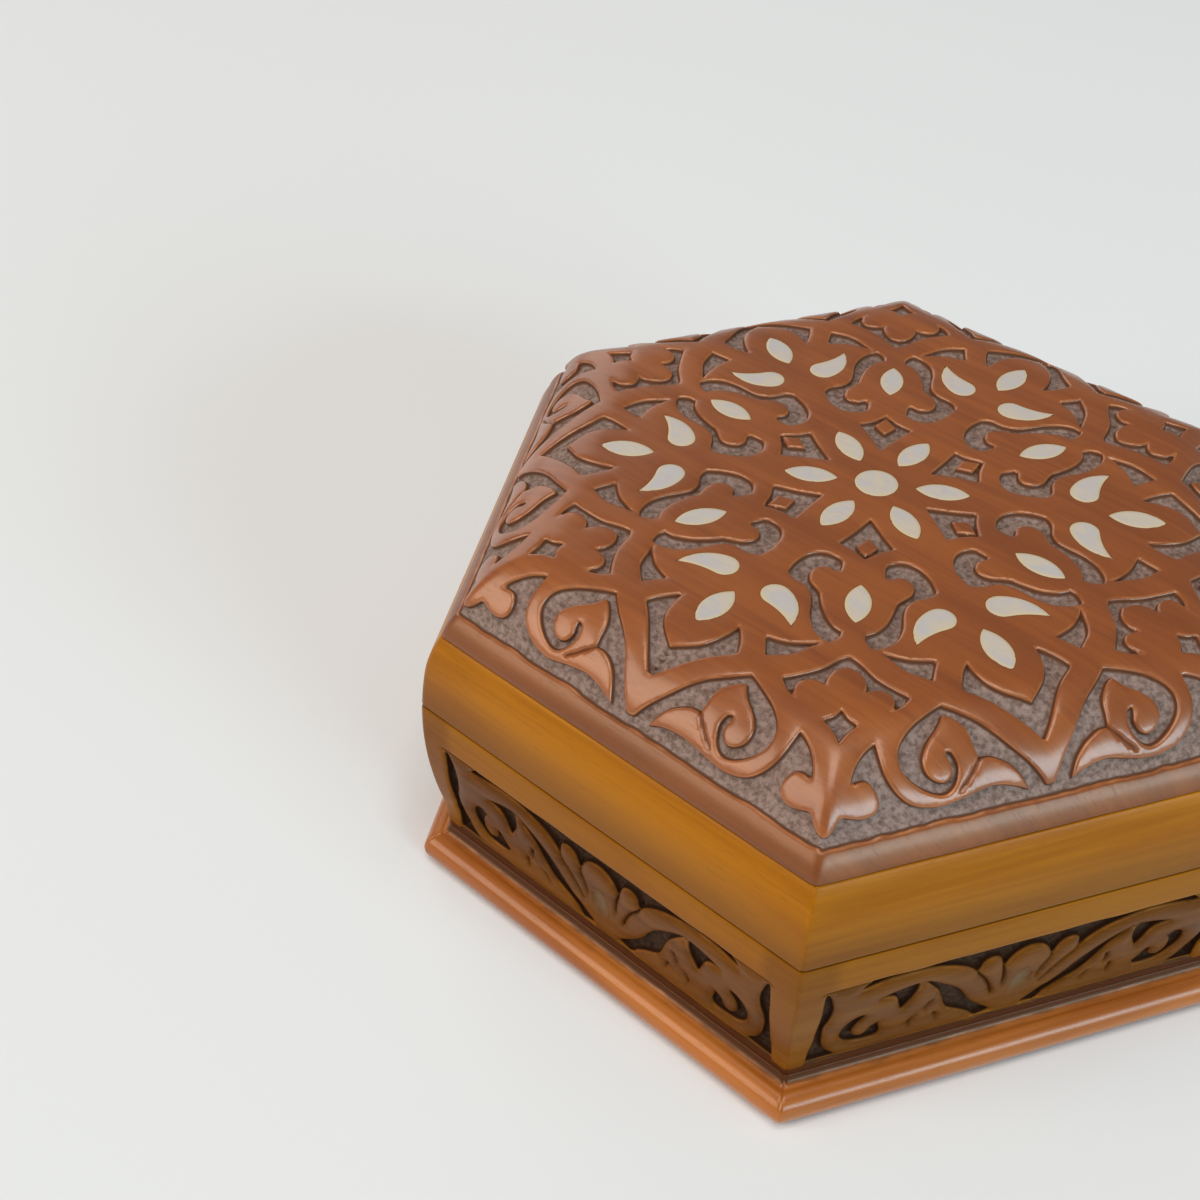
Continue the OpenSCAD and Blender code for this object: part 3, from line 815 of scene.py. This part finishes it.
def plinth_profile():
    """The plinth's closed outline: cove, round nose, underside and inner face."""
    nose_r = NOSE_H / 2
    cove_r = plinth_h - NOSE_H
    cove = arc((FOOT_APOTHEM + cove_r, plinth_h), cove_r, 180, 270, 8)
    nose = arc((plinth_apothem - nose_r, nose_r), nose_r, 90, -90, 18)
    return np.concatenate([[(inner_apothem, plinth_h)], cove, nose, [(inner_apothem, 0)]])


def columns(step):
    """Places across a side, from mitre to mitre as -1 to 1, closer together near the mitres."""
    half = belly_apothem * TAN30
    from_end = np.array([0, 0.12, 0.3, 0.6, 1, 1.5, 2.1, 2.9, 3.9])
    even = half - MITRE_BAND
    middle = np.linspace(-even, even, int(2 * even / step) + 1)
    return np.concatenate([from_end - half, middle, half - from_end[::-1]]) / half


def sweep(outline, across):
    """A closed outline swept from mitre to mitre: a flat grid (across, length) and its faces."""
    profile = Profile(outline, outline[:1])
    lengths = profile.length[:-1]
    grid = [(t, s, 0) for t in across for s in lengths]
    return profile, mesh_from(grid, tube(len(across), len(lengths)), scale=1)


def place_sweep(profile, mesh, k, height, seed):
    """Puts a swept piece on side k, with its mitres slightly sunk, and notes its grain."""
    flat = vertex_points(mesh)
    across, length = flat[:, 0], flat[:, 1]
    from_mitre = (1 - abs(across)) * belly_apothem * TAN30
    out, up = profile.at(length)
    outer = out > inner_apothem + INNER_BAND
    height = height - MITRE_SINK * np.exp(-((from_mitre / MITRE_REACH) ** 2)) * outer
    angle = side_angle(k)
    x = np.cos(angle) - across * TAN30 * np.sin(angle)
    y = np.sin(angle) + across * TAN30 * np.cos(angle)
    set_points(mesh, placed(profile, length, x, y, height))
    along = across * out * TAN30 + GRAIN_SHIFT[0] * seed
    grain = np.column_stack([along, length, height + GRAIN_SHIFT[1] * seed])
    add_attributes(mesh, grain_mm=grain)


def make_plain(name, outline, k, seed, stain_and_shade_z=None):
    """A rail or a plinth moulding on side k. Over a height, if one is given, it takes dark stain and painted
    shade.
    """
    profile, mesh = sweep(eased(outline, ARRIS), columns(PLAIN_STEP))
    up = profile.at(vertex_points(mesh)[:, 1])[1]
    place_sweep(profile, mesh, k, np.zeros(len(mesh.vertices)), seed)
    if stain_and_shade_z is not None:
        add_attributes(mesh, stain_mm=up - stain_and_shade_z)
    # Painted shade: the rails darken towards the seam
    add_attributes(mesh, aged=between_steps(SHADE_Z - up, 0, SHADE_Z - lid_rim_z))
    return finish_solid(name, mesh)


def make_wall(name, k, seed):
    """A base wall on side k with its carved panel."""
    profile, mesh = sweep(eased(wall_profile(), ARRIS), columns(WALL_STEP))
    outlines = [traced(runs) for runs in PANEL_OUTLINES]
    grooves = [traced(runs) for runs in PANEL_GROOVES]

    def on_panel(values):
        """The unrolled points as places on half a panel, and which of them are on the outer face."""
        out, up = profile.at(values[:, 1])
        return np.column_stack([abs(values[:, 0]) * out * TAN30, up]), out > inner_apothem + INNER_BAND

    def ground_at(flat):
        points, outer = on_panel(flat)
        return np.where(outer, signed_distance(points, outlines, on_panel_mirror), -OFF_FACE)

    def groove_at(flat):
        points, outer = on_panel(flat)
        return np.where(outer, beside(points, grooves), OFF_FACE)

    for field, levels in ((groove_at, GROOVE_LEVELS), (ground_at, RELIEF_LEVELS)):
        split_along(mesh, field(vertex_points(mesh)), levels)
    flat = vertex_points(mesh)
    ground = snapped(ground_at(flat), RELIEF_LEVELS)
    groove = abs(groove_at(flat))
    outer = on_panel(flat)[1]
    out, up = profile.at(flat[:, 1])
    from_middle = flat[:, 0] * out * TAN30
    panel = np.minimum(PANEL_HALF - abs(from_middle), np.minimum(up - PANEL_LOW, PANEL_HIGH - up))
    height = relief_height(ground, groove, PANEL_DEPTH, PANEL_CROWN * between_steps(panel, -0.5, 1))
    oval = (from_middle / BUD_OVAL_HALF[0]) ** 2 + ((up - BUD_OVAL_Z) / BUD_OVAL_HALF[1]) ** 2
    dish = np.clip(1 - oval, 0, 1) * (ground < 0) * outer
    height -= OVAL_DEPTH * np.sqrt(dish) * between_steps(dish, 0, 0.2)
    x = from_middle + DRIFT_SHIFT * seed
    height += np.clip(ground / FILLET_END, 0, 1) * waves(x, up, GROUND_DRIFT, 5)
    carved = np.clip((ground + 2.5) / 1.5, 0, 1)
    flat[:, 0] += carved * waves(x, up, PANEL_DRIFT, 6) / (belly_apothem * TAN30)
    flat[:, 1] += carved * waves(x, up, PANEL_DRIFT, 7)
    flat[:, 2] = 0
    set_points(mesh, flat, scale=1)
    place_sweep(profile, mesh, k, height * outer, seed)
    # Painted shade over the wall's plain wood, stronger at its ends
    aged = RIM_SHADE + (1 - RIM_SHADE) * between_steps(abs(from_middle), PANEL_HALF - 3, PANEL_HALF)
    foot = PANEL_LOW - up
    # The panel takes its darker wood, and the foot under it dark stain and painted shade
    stain = np.where(outer, np.maximum(panel, foot), -OFF_FACE)
    add_attributes(mesh, relief_mm=ground, groove_mm=groove, stain_mm=stain)
    add_attributes(mesh, foot_mm=foot, aged=aged, dish=dish)
    return finish_solid(name, mesh)


def cut_back_bevel(obj, up):
    """Takes the wedge off a back rim, under the seam or over it, so that the rims meet at the lid's stop."""
    half = np.radians(BEVEL_HALF_ANGLE)
    place, normal = (0, hinge_y * MM, seam_z * MM), (0, np.sin(half), -up * np.cos(half))
    with editing(obj.data) as bm:
        cut = cut_by_plane(bm, place, normal, dist=1e-6, clear_outer=True)
        edges = [e for e in cut["geom_cut"] if isinstance(e, bmesh.types.BMEdge)]
        if edges:
            bmesh.ops.holes_fill(bm, edges=edges)
    obj.data.set_sharp_from_angle(angle=np.radians(SHARP_ANGLE))


def shift(x, y, z):
    """The move to a place in millimetres."""
    return Matrix.Translation((x * MM, y * MM, z * MM))


def cut_hinge_room(obj, up):
    """Cuts the mortises and the round room for the knuckles into a back piece."""
    knuckles, mortises = bmesh.new(), bmesh.new()
    lying = Matrix.Rotation(np.pi / 2, 4, "Y")
    depth = LEAF_T + MORTISE_SPARE
    size = Matrix.Diagonal(((hinge_len + MORTISE_SPARE) * MM, LEAF_W * MM, depth * MM, 1))
    for x in (-hinge_mid, hinge_mid):
        bmesh.ops.create_cone(
            knuckles,
            cap_ends=True,
            segments=KNUCKLE_SEGMENTS,
            radius1=KNUCKLE_ROOM_R * MM,
            radius2=KNUCKLE_ROOM_R * MM,
            depth=(hinge_len + KNUCKLE_ROOM_SPARE) * MM,
            matrix=shift(x, hinge_y, seam_z) @ lying,
        )
        place = shift(x, hinge_y - LEAF_W / 2, seam_z + up * depth / 2)
        bmesh.ops.create_cube(mortises, size=1, matrix=place @ size)
    cut_with(obj, knuckles)
    cut_with(obj, mortises)


def cut_with(obj, cutter):
    """Takes a closed cutter away from an object's mesh."""
    mesh = bpy.data.meshes.new("cutter")
    cutter.to_mesh(mesh)
    cutter.free()
    tool = add_object("cutter", mesh)
    modifier = obj.modifiers.new("cut", "BOOLEAN")
    modifier.operation = "DIFFERENCE"
    modifier.solver = "EXACT"
    modifier.object = tool
    bpy.context.view_layer.update()
    evaluated = obj.evaluated_get(bpy.context.evaluated_depsgraph_get())
    result = bpy.data.meshes.new_from_object(evaluated)
    obj.modifiers.clear()
    obj.data = result
    bpy.data.objects.remove(tool)
    result.set_sharp_from_angle(angle=np.radians(SHARP_ANGLE))


def make_pearl(node):
    """An inlay from its CAD outlines: a flat top with a softened rim, straight sides and a flat underside."""
    low, high = cad_span(node, 2)
    points, faces, rims = [], [], []
    for outline in top_outlines(node):
        lattice = hex_lattice(np.ptp(outline, axis=0).max(), PEARL_STEP)[0] + outline.mean(axis=0)
        inner = lattice[signed_distance(lattice, [outline]) > 0.6 * PEARL_STEP]
        ring = range(len(outline))
        plan = [Vector(p) for p in (*outline, *inner)]
        top, _, triangles, *_ = delaunay_2d_cdt(plan, [], [list(ring)], 1, 1e-5)
        top = np.array(top)
        rim = nearest(top, *segments([outline], closed=True))[0]
        z = high - PEARL_DROP * round_over(rim / PEARL_RIM)
        first, foot = len(points), len(points) + len(top)
        points.extend(zip(*top.T, z))
        points.extend((x, y, low) for x, y in outline)
        rims.extend((*rim, *np.zeros(len(outline))))
        faces.extend(tuple(first + v for v in triangle) for triangle in triangles)
        faces.extend((first + a, foot + a, foot + b, first + b) for a, b in zip(ring, (*ring[1:], 0)))
        faces.append(tuple(foot + v for v in ring))
    mesh = mesh_from(points, faces)
    add_attributes(mesh, rim_mm=np.array(rims))
    return finish_solid(f"{node}_polished", mesh, sharp=60)


def make_hex_pad(name, low, high, apothem, up):
    """A padded hexagonal lining that crowns upward, or downward where up is -1."""
    back = low if up > 0 else high
    turns = np.radians(np.arange(0, 420, 60))
    corners = apothem / COS30 * np.column_stack([np.cos(turns), np.sin(turns)])
    shares = np.arange(PAD_PER_SIDE) / PAD_PER_SIDE
    rim = PAD_INSET * np.concatenate([a + np.outer(shares, b - a) for a, b in zip(corners, corners[1:])])
    points = []
    for r in 1 - (1 - np.linspace(0, 1, PAD_RINGS)[1:]) ** 1.8:
        x, y = (rim * r).T
        filled = PAD_EDGE_SHARE + (1 - PAD_EDGE_SHARE) * np.sqrt(np.maximum(1 - r**14, 0))
        bulge = PAD_BULGE * (1 - r**2) + (1 - r**4) * waves(x, y, PAD_DRIFT, 8)
        points.extend(zip(x, y, back + up * ((high - low) * filled + bulge)))
    points.extend((x, y, back) for x, y in rim)
    centre, n = len(points), len(rim)
    points.append((0, 0, back + up * (high - low + PAD_BULGE)))
    faces = [(centre, i, (i + 1) % n) for i in range(n)] + tube(PAD_RINGS, n, ends=1)
    return finish_solid(name, mesh_from(points, faces), sharp=70)


def make_wall_pad(name, k):
    """A padded lining on the inside of wall k, with soft edges and drawn-in corners."""
    front = np.linspace(-1, 1, PAD_ROWS)
    u, v = np.meshgrid(np.linspace(-1, 1, PAD_COLUMNS), [*front, *front[::-1]], indexing="ij")
    soft = (1 - abs(u) ** 10) * (1 - abs(v) ** 8)
    thick = PAD_EDGE + PAD_FILL * np.sqrt(soft) + PAD_CROWN * (1 - u**2) * (1 - v**2)
    thick[:, PAD_ROWS:] = 0
    x = u * (inner_apothem - 1.4) * TAN30
    out = inner_apothem - 0.02 - thick
    z = (lining_low + lining_high) / 2 + v * ((lining_high - lining_low) / 2 - 0.05)
    angle = side_angle(k)
    parts = (out * np.cos(angle) - x * np.sin(angle), out * np.sin(angle) + x * np.cos(angle), z)
    points = np.column_stack([part.ravel() for part in parts])
    return finish_solid(name, mesh_from(points, tube(PAD_COLUMNS, 2 * PAD_ROWS)), sharp=70)


def srgb(red, green, blue):
    """A colour as a material takes it, from its 0 to 255 screen values."""
    values = [c / 255 for c in (red, green, blue)]
    return [c / 12.92 if c <= 0.04045 else ((c + 0.055) / 1.055) ** 2.4 for c in values] + [1]


class Value:
    """An output of a material's node. Sums, differences and products of values add Math nodes."""

    def __init__(self, socket):
        self.socket = socket
        self.tree = socket.id_data

    def __add__(self, other):
        return math("ADD", self, other)

    def __sub__(self, other):
        return math("SUBTRACT", self, other)

    def __rsub__(self, other):
        return math("SUBTRACT", other, self)

    def __mul__(self, other):
        return math("MULTIPLY", self, other)


def feed(socket, value):
    """Links a value to an input, or sets the input to a plain number or colour."""
    if isinstance(value, Value):
        socket.id_data.links.new(value.socket, socket)
    else:
        socket.default_value = value


def add(tree, kind, output, inputs=(), **settings):
    """Adds a node with its settings and inputs, and gives one of its outputs."""
    node = tree.nodes.new(kind)
    for key, setting in settings.items():
        setattr(node, key, setting)
    for key, value in dict(inputs).items():
        feed(node.inputs[key], value)
    return Value(node.outputs[output])


def math(operation, a, b):
    tree = (a if isinstance(a, Value) else b).tree
    return add(tree, "ShaderNodeMath", 0, {0: a, 1: b}, operation=operation)


def mixed(factor, a, b, mode="MIX"):
    """One colour blended into another. The factor or the first colour is a value."""
    tree = (factor if isinstance(factor, Value) else a).tree
    return add(tree, "ShaderNodeMix", 2, {0: factor, 6: a, 7: b}, data_type="RGBA", blend_type=mode)


def between(value, low, high):
    """0 below low and 1 above high, smooth between them."""
    inputs = {"Value": value, "From Min": low, "From Max": high}
    return add(value.tree, "ShaderNodeMapRange", "Result", inputs, interpolation_type="SMOOTHSTEP")


def scaled(vector, scale):
    """A vector times a factor, or times one for each part."""
    factors = tuple(np.ones(3) * scale)
    return add(vector.tree, "ShaderNodeVectorMath", 0, {0: vector, 1: factors}, operation="MULTIPLY")


def noise(position, rate, detail=3, rough=0.55, distortion=0.0):
    """Noise with about this many features to a unit of position, along all axes or along each."""
    inputs = {"Vector": scaled(position, rate), "Scale": 1, "Detail": detail, "Roughness": rough}
    return add(position.tree, "ShaderNodeTexNoise", "Fac", {**inputs, "Distortion": distortion})


class Finish:
    """A material with a Principled shader."""

    def __init__(self, name):
        self.material = bpy.data.materials.new(name)
        self.material.use_nodes = True
        self.tree = self.material.node_tree
        self.tree.nodes.clear()
        self.shader = self.tree.nodes.new("ShaderNodeBsdfPrincipled")
        output = self.tree.nodes.new("ShaderNodeOutputMaterial")
        self.tree.links.new(self.shader.outputs["BSDF"], output.inputs["Surface"])

    def set(self, **inputs):
        """Links or sets the shader's inputs. An underscore stands for the space in a name."""
        for name, value in inputs.items():
            feed(self.shader.inputs[name.replace("_", " ")], value)

    def bump(self, height, distance):
        """Links a height from 0 to 1 in as a bump of a depth in metres."""
        inputs = {"Height": height, "Distance": distance, "Strength": 1.0}
        self.set(Normal=add(self.tree, "ShaderNodeBump", "Normal", inputs))

    def attribute(self, name, output="Fac"):
        return add(self.tree, "ShaderNodeAttribute", output, attribute_name=name)

    def place(self):
        """The place on the object, in millimetres."""
        return scaled(add(self.tree, "ShaderNodeTexCoord", "Object"), 1 / MM)

    def varnish(self, specular):
        """An amber varnish: tinted reflections, and a soft clear coat where the material links one."""
        tint = srgb(255, 214, 176)
        self.set(Specular_IOR_Level=specular, Specular_Tint=tint, Coat_Roughness=0.22)

    def stain_share(self, position):
        """How much of the dark stain and painted shade shows: 1 where the attribute is well over 0, with a
        smudged edge.
        """
        smudge = noise(position, (0.22, 0.6, 0.6))
        return between(self.attribute("stain_mm") + smudge * 0.8, 0.4, 1.0)

    def aged(self, colour):
        """A wood colour darkened with painted shade where the shade attribute is more than 0."""
        return mixed(self.attribute("aged") * SHADE_SHARE, colour, srgb(70, 30, 2))


def darker(colour, share):
    """A colour with its light cut down to a share."""
    return [c * share for c in colour[:3]] + [1]


def wood_grain(position, light, dark):
    """Colour of plain wood and the height of its grain. Position is in millimetres, x along the grain."""
    broad = noise(position, (0.018, 0.09, 0.09), 2, 0.5, 0.6)
    streak = noise(position, (0.02, 0.5, 0.5), 4, 0.6, 1.2)
    fine = noise(position, (0.06, 2.6, 2.6), 3, 0.6)
    pores = between(noise(position, (0.35, 5.5, 5.5), 1, 0.5), 0.66, 0.74)
    colour = mixed(between(broad * 0.6 + streak * 0.4, 0.34, 0.66), dark, light)
    shade = fine * 0.18 + 0.91
    grey = add(position.tree, "ShaderNodeCombineColor", 0, {0: shade, 1: shade, 2: shade})
    colour = mixed(1.0, colour, grey, "MULTIPLY")
    colour = mixed(pores * 0.3, colour, darker(dark, 0.4))
    return colour, fine * 0.5 - pores * 0.8


def plain_wood(name, light, dark, rough, specular=0.35, by_place=False, stain=None):
    """Polished wood with its grain along the piece, and with dark stain and painted shade where their colour
    is given.
    """
    finish = Finish(name)
    position = finish.place() if by_place else finish.attribute("grain_mm", "Vector")
    colour, height = wood_grain(position, light, dark)
    if stain:
        stained_and_shaded = finish.stain_share(position)
        colour = mixed(stained_and_shaded, colour, stain)
        finish.set(Coat_Weight=(1 - stained_and_shaded) * UNDARKENED_COAT)
    elif not by_place:
        # Painted shade, darker towards the seam on the rails
        colour = finish.aged(colour)
    wear_and_shine = noise(position, (0.05, 0.12, 0.12))
    finish.set(Base_Color=colour, Roughness=wear_and_shine * 0.16 + (rough - 0.08))
    finish.varnish(specular)
    finish.bump(height, 0.00002)
    return finish.material


def carve_finish(finish, position, colour, height, edge, cut_wall_shade, ground, rough, coat=0.0):
    """Adds to polished wood what the carving does: rims lightened by wear and a painted highlight,
    cut walls and grooves darkened with painted shade, and a matte ground.

    Ground is its light and dark colour. A coat of varnish lies on the raised wood, thin under painted shade.
    """
    relief = finish.attribute("relief_mm")
    # Rims lightened towards the edge colour: partly wear, partly a painted highlight
    wear_and_shine = between(relief, -0.42, -0.18) - between(relief, -0.12, -0.02)
    patchy = between(noise(position, 0.3), 0.3, 0.7)
    colour = mixed(wear_and_shine * (patchy * 0.35), colour, edge)
    # Painted shade: grooves darkened towards the cut-wall colour
    line = 1 - between(finish.attribute("groove_mm"), 0.1, 0.4)
    colour = mixed(line * 0.5, colour, cut_wall_shade)
    dust = noise(position, 1.1, 5, 0.7)
    punch_inputs = {"Vector": position, "Scale": PUNCH_RATE}
    punched = add(finish.tree, "ShaderNodeTexVoronoi", "Distance", punch_inputs)
    ground_colour = mixed(between(dust * 0.9 + punched * 0.15, 0.35, 0.68), ground[1], ground[0])
    # Painted shade: cut walls and the ground at their foot take the dark cut-wall colour
    cut = between(relief, -0.05, 0.03)
    deep = between(relief, 0.14, 0.34)
    finish.set(Roughness=dust * 0.12 + (rough - 0.06) + cut * 0.4)
    if coat:
        bare = math("MAXIMUM", cut, finish.attribute("aged") * 0.9)
        finish.set(Coat_Weight=(1 - bare) * coat)
    finish.bump(height * (1 - cut) + (punched + dust) * 7 * deep, 0.00002)
    return mixed(cut, colour, mixed(deep, cut_wall_shade, ground_colour))


def wall_wood(rail_light, rail_dark, stain):
    """A base wall: plain at its rim and ends like the rails, darker wood in the panel, stain and painted
    shade at its foot.
    """
    finish = Finish("wall_wood")
    position = finish.attribute("grain_mm", "Vector")
    plain, height = wood_grain(position, rail_light, rail_dark)
    # Painted shade on the wall's plain wood
    plain = finish.aged(plain)
    panel, _ = wood_grain(position, srgb(120, 70, 14), srgb(92, 49, 6))
    # The foot takes dark stain and painted shade, the panel its darker wood
    foot = between(finish.attribute("foot_mm"), 0, 0.6)
    colour = mixed(finish.stain_share(position), plain, mixed(foot, panel, stain))
    colour = mixed(finish.attribute("dish") * 0.85, colour, srgb(112, 92, 62))
    # Edge: rim colour for wear and a painted highlight; the cut-wall colour is painted shade
    edge, cut_wall_shade = srgb(176, 108, 48), srgb(44, 22, 10)
    ground = srgb(74, 52, 38), srgb(42, 28, 20)
    colour = carve_finish(finish, position, colour, height, edge, cut_wall_shade, ground, rough=0.36)
    finish.set(Base_Color=colour)
    finish.varnish(0.12)
    return finish.material


def lid_wood():
    """The lid's carved wood, with a fine dark line of filler round each inlay."""
    finish = Finish("carved_wood")
    position = finish.attribute("grain_mm", "Vector")
    colour, height = wood_grain(position, srgb(154, 80, 27), srgb(128, 61, 18))
    # Painted shade darkens the border
    colour = finish.aged(colour)
    # Edge: rim colour for wear and a painted highlight; the cut-wall colour is painted shade
    edge, cut_wall_shade = srgb(204, 134, 82), srgb(80, 42, 24)
    ground = srgb(150, 127, 118), srgb(95, 74, 66)
    colour = carve_finish(finish, position, colour, height, edge, cut_wall_shade, ground, rough=0.42, coat=0.65)
    pearl = finish.attribute("pearl_mm")
    line = between(pearl, -0.3, -0.05) - between(pearl, 0.3, 0.6)
    finish.set(Base_Color=mixed(line * 0.4, colour, srgb(110, 66, 28)))
    finish.varnish(0.9)
    return finish.material


def pearl_shell():
    """Mother of pearl: pale, cloudy, with faint rosy bands under a polish."""
    finish = Finish("pearl_shell")
    position = finish.place()
    cloud = noise(position, (0.11, 0.14, 0.11), 3, 0.5, 1.5)
    band = noise(position, (0.25, 0.7, 0.25), 2, 0.5, 1.5)
    colour = mixed(between(cloud, 0.35, 0.65), srgb(202, 186, 166), srgb(192, 183, 178))
    colour = mixed(between(band, 0.5, 0.75) * 0.5, colour, srgb(190, 173, 176))
    edge = 1 - between(finish.attribute("rim_mm"), 0.15, 0.7)
    colour = mixed(edge * 0.7, colour, srgb(206, 182, 136))
    finish.set(Base_Color=colour, Roughness=band * 0.14 + 0.24)
    finish.bump(band, 0.00002)
    return finish.material


def aged_brass():
    """Brass with a dull patina and fine scratches."""
    finish = Finish("aged_brass")
    position = finish.place()
    patina = noise(position, 0.35, 5, 0.65)
    scratch = noise(position, (0.8, 9, 9), 2)
    colour = mixed(between(patina, 0.42, 0.68), srgb(214, 172, 96), srgb(150, 112, 58))
    finish.set(Base_Color=colour, Metallic=1, Roughness=patina * 0.25 + 0.22)
    finish.bump(scratch, 0.00001)
    return finish.material


def velvet():
    """Deep red velvet with a brushed pile."""
    finish = Finish("velvet")
    position = finish.place()
    brushed = noise(position, (0.12, 0.2, 0.16), 2, 0.4, 0.3)
    pile = noise(position, 4.5)
    colour = mixed(between(brushed, 0.25, 0.75), srgb(86, 12, 21), srgb(102, 16, 27))
    colour = mixed(between(pile, 0.45, 0.75) * 0.35, colour, srgb(40, 4, 10))
    sheen_tint = srgb(230, 120, 130)
    finish.set(Base_Color=colour, Roughness=0.9)
    finish.set(Sheen_Weight=0.4, Sheen_Roughness=0.4, Sheen_Tint=sheen_tint)
    finish.bump(pile, 0.00012)
    return finish.material


def pale_floor():
    """A plain matte white floor that takes the object's shadow."""
    finish = Finish("pale_floor")
    finish.set(Base_Color=srgb(234, 233, 231), Roughness=0.95)
    return finish.material


def dress(obj, material, slot, body, *nodes):
    """Gives a piece its finish and its body, and hides the CAD nodes that it stands for."""
    obj.data.materials.clear()
    obj.data.materials.append(material)
    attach(obj, body)
    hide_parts(*nodes)


def paint(node, material):
    """Gives a CAD node that stays its finish."""
    materials = frame["nodes"][node].data.materials
    materials.clear()
    materials.append(material)


def make_camera():
    """The photograph's camera, in the box's own frame."""
    position = (110.07, -191.96, 230.78)
    right = (0.73894, 0.67364, 0.01352)
    up = (-0.45146, 0.48013, 0.75211)
    back = (0.50016, -0.56187, 0.65890)
    data = bpy.data.cameras.new("photo_camera")
    data.lens = 48.97
    data.sensor_width = 36
    data.clip_start = 0.01
    camera = add_object("photo_camera", data)
    camera.matrix_world = shift(*position) @ Matrix((right, up, back)).transposed().to_4x4()
    bpy.context.scene.camera = camera


def make_lamp(name, direction, size, level, colour):
    """A soft lamp, far off in a direction. Size is how wide and how high it looks, in radians.

    Level is how brightly it lights a white surface that faces it, where 1 shows as white.
    """
    data = bpy.data.lights.new(name, "AREA")
    data.shape = "RECTANGLE"
    data.size = size[0] * LAMP_DISTANCE
    data.size_y = size[1] * LAMP_DISTANCE
    data.energy = level * (np.pi * LAMP_DISTANCE) ** 2
    data.color = colour
    lamp = add_object(name, data)
    lamp.location = Vector(direction).normalized() * LAMP_DISTANCE
    lamp.rotation_euler = lamp.location.to_track_quat("Z", "Y").to_euler()


def make_studio():
    """Floor, soft lamps and an even world."""
    corners = [(-1, -1, 0), (1, -1, 0), (1, 1, 0), (-1, 1, 0)]
    floor = add_object("floor", mesh_from(corners, [(0, 1, 2, 3)], scale=FLOOR_REACH))
    floor.data.materials.append(pale_floor())
    make_lamp("key", (-0.42, -0.75, 0.52), (0.6, 0.6), 0.46, (1.0, 0.94, 0.86))
    make_lamp("window", (0.94, -0.1, 0.34), (0.55, 0.32), 0.56, (0.56, 0.83, 1.0))
    make_lamp("ceiling", (0.1, -0.17, 0.98), (0.6, 0.6), 0.47, (1.0, 0.98, 0.96))
    make_lamp("back", (-0.85, 0.45, 0.35), (0.6, 0.6), 0.12, (1.0, 0.98, 0.95))
    world = bpy.data.worlds.new("studio")
    world.use_nodes = True
    background = world.node_tree.nodes["Background"]
    background.inputs["Color"].default_value = (0.96, 0.98, 1.0, 1)
    background.inputs["Strength"].default_value = 0.2
    bpy.context.scene.world = world
    bpy.context.scene.view_settings.view_transform = "Standard"


make_camera()
make_studio()

honey_light = srgb(174, 108, 14)
honey_dark = srgb(150, 86, 6)
# Dark stain, also painted as shade in the joint of the walls' foot and the plinth's cove
stain = srgb(78, 38, 14)
rail_finish = plain_wood("rail_wood", honey_light, honey_dark, rough=0.32, specular=0.25)
plinth_tones = srgb(184, 106, 40), srgb(154, 82, 26)
plinth_finish = plain_wood("plinth_wood", *plinth_tones, rough=0.32, specular=0.4, stain=stain)
board_finish = plain_wood("board_wood", srgb(150, 104, 62), srgb(122, 82, 48), rough=0.6, by_place=True)
wall_finish = wall_wood(honey_light, honey_dark, stain)
lid_finish = lid_wood()
pearl_finish = pearl_shell()
brass_finish = aged_brass()
velvet_finish = velvet()

dress(make_lid(), lid_finish, "carved_wood", "lid", "lid_top")
for k in SIDES:
    wall = make_wall(f"carved_wall_{k}", k, k)
    rail = make_plain(f"polished_rail_{k}", rail_profile(), k, k + 10)
    # The plinth's cove over the nose takes dark stain and painted shade
    plinth = make_plain(f"polished_plinth_{k}", plinth_profile(), k, k + 20, stain_and_shade_z=NOSE_H)
    if abs(k - BACK_SIDE) <= 1:
        cut_back_bevel(wall, -1)
        cut_back_bevel(rail, 1)
    if k == BACK_SIDE:
        cut_hinge_room(wall, -1)
        cut_hinge_room(rail, 1)
    dress(wall, wall_finish, "wall_wood", "base", f"base_wall_{k}")
    dress(rail, rail_finish, "rail_wood", "lid", f"lid_rail_{k}")
    dress(plinth, plinth_finish, "plinth_wood", "base", f"plinth_moulding_{k}")
    pad = make_wall_pad(f"wall_velvet_{k}", k)
    dress(pad, velvet_finish, "velvet", "base", f"wall_lining_{k}")

floor_pad = make_hex_pad("floor_velvet", floor_low, floor_high, inner_apothem - 0.1, 1)
dress(floor_pad, velvet_finish, "velvet", "base", "floor_lining")
lid_pad = make_hex_pad("lid_velvet", lid_lining_low, lid_lining_high, lid_lining_apothem, -1)
dress(lid_pad, velvet_finish, "velvet", "lid", "lid_lining")

pearl_nodes = [f"pearl_{form}_{k}" for k in SIDES for form in ("star_petal", "bud", "flower")]
for node in ("pearl_centre", *pearl_nodes):
    dress(make_pearl(node), pearl_finish, "pearl", "lid", node)

paint("bottom_board", board_finish)
hinge_nodes = [f"{form}_{k}" for k in HINGES for form in ("base_hinge_leaf", "lid_hinge_leaf", "hinge_pin")]
for node in (*hinge_nodes, "base_leaf_screws", "lid_leaf_screws"):
    paint(node, brass_finish)
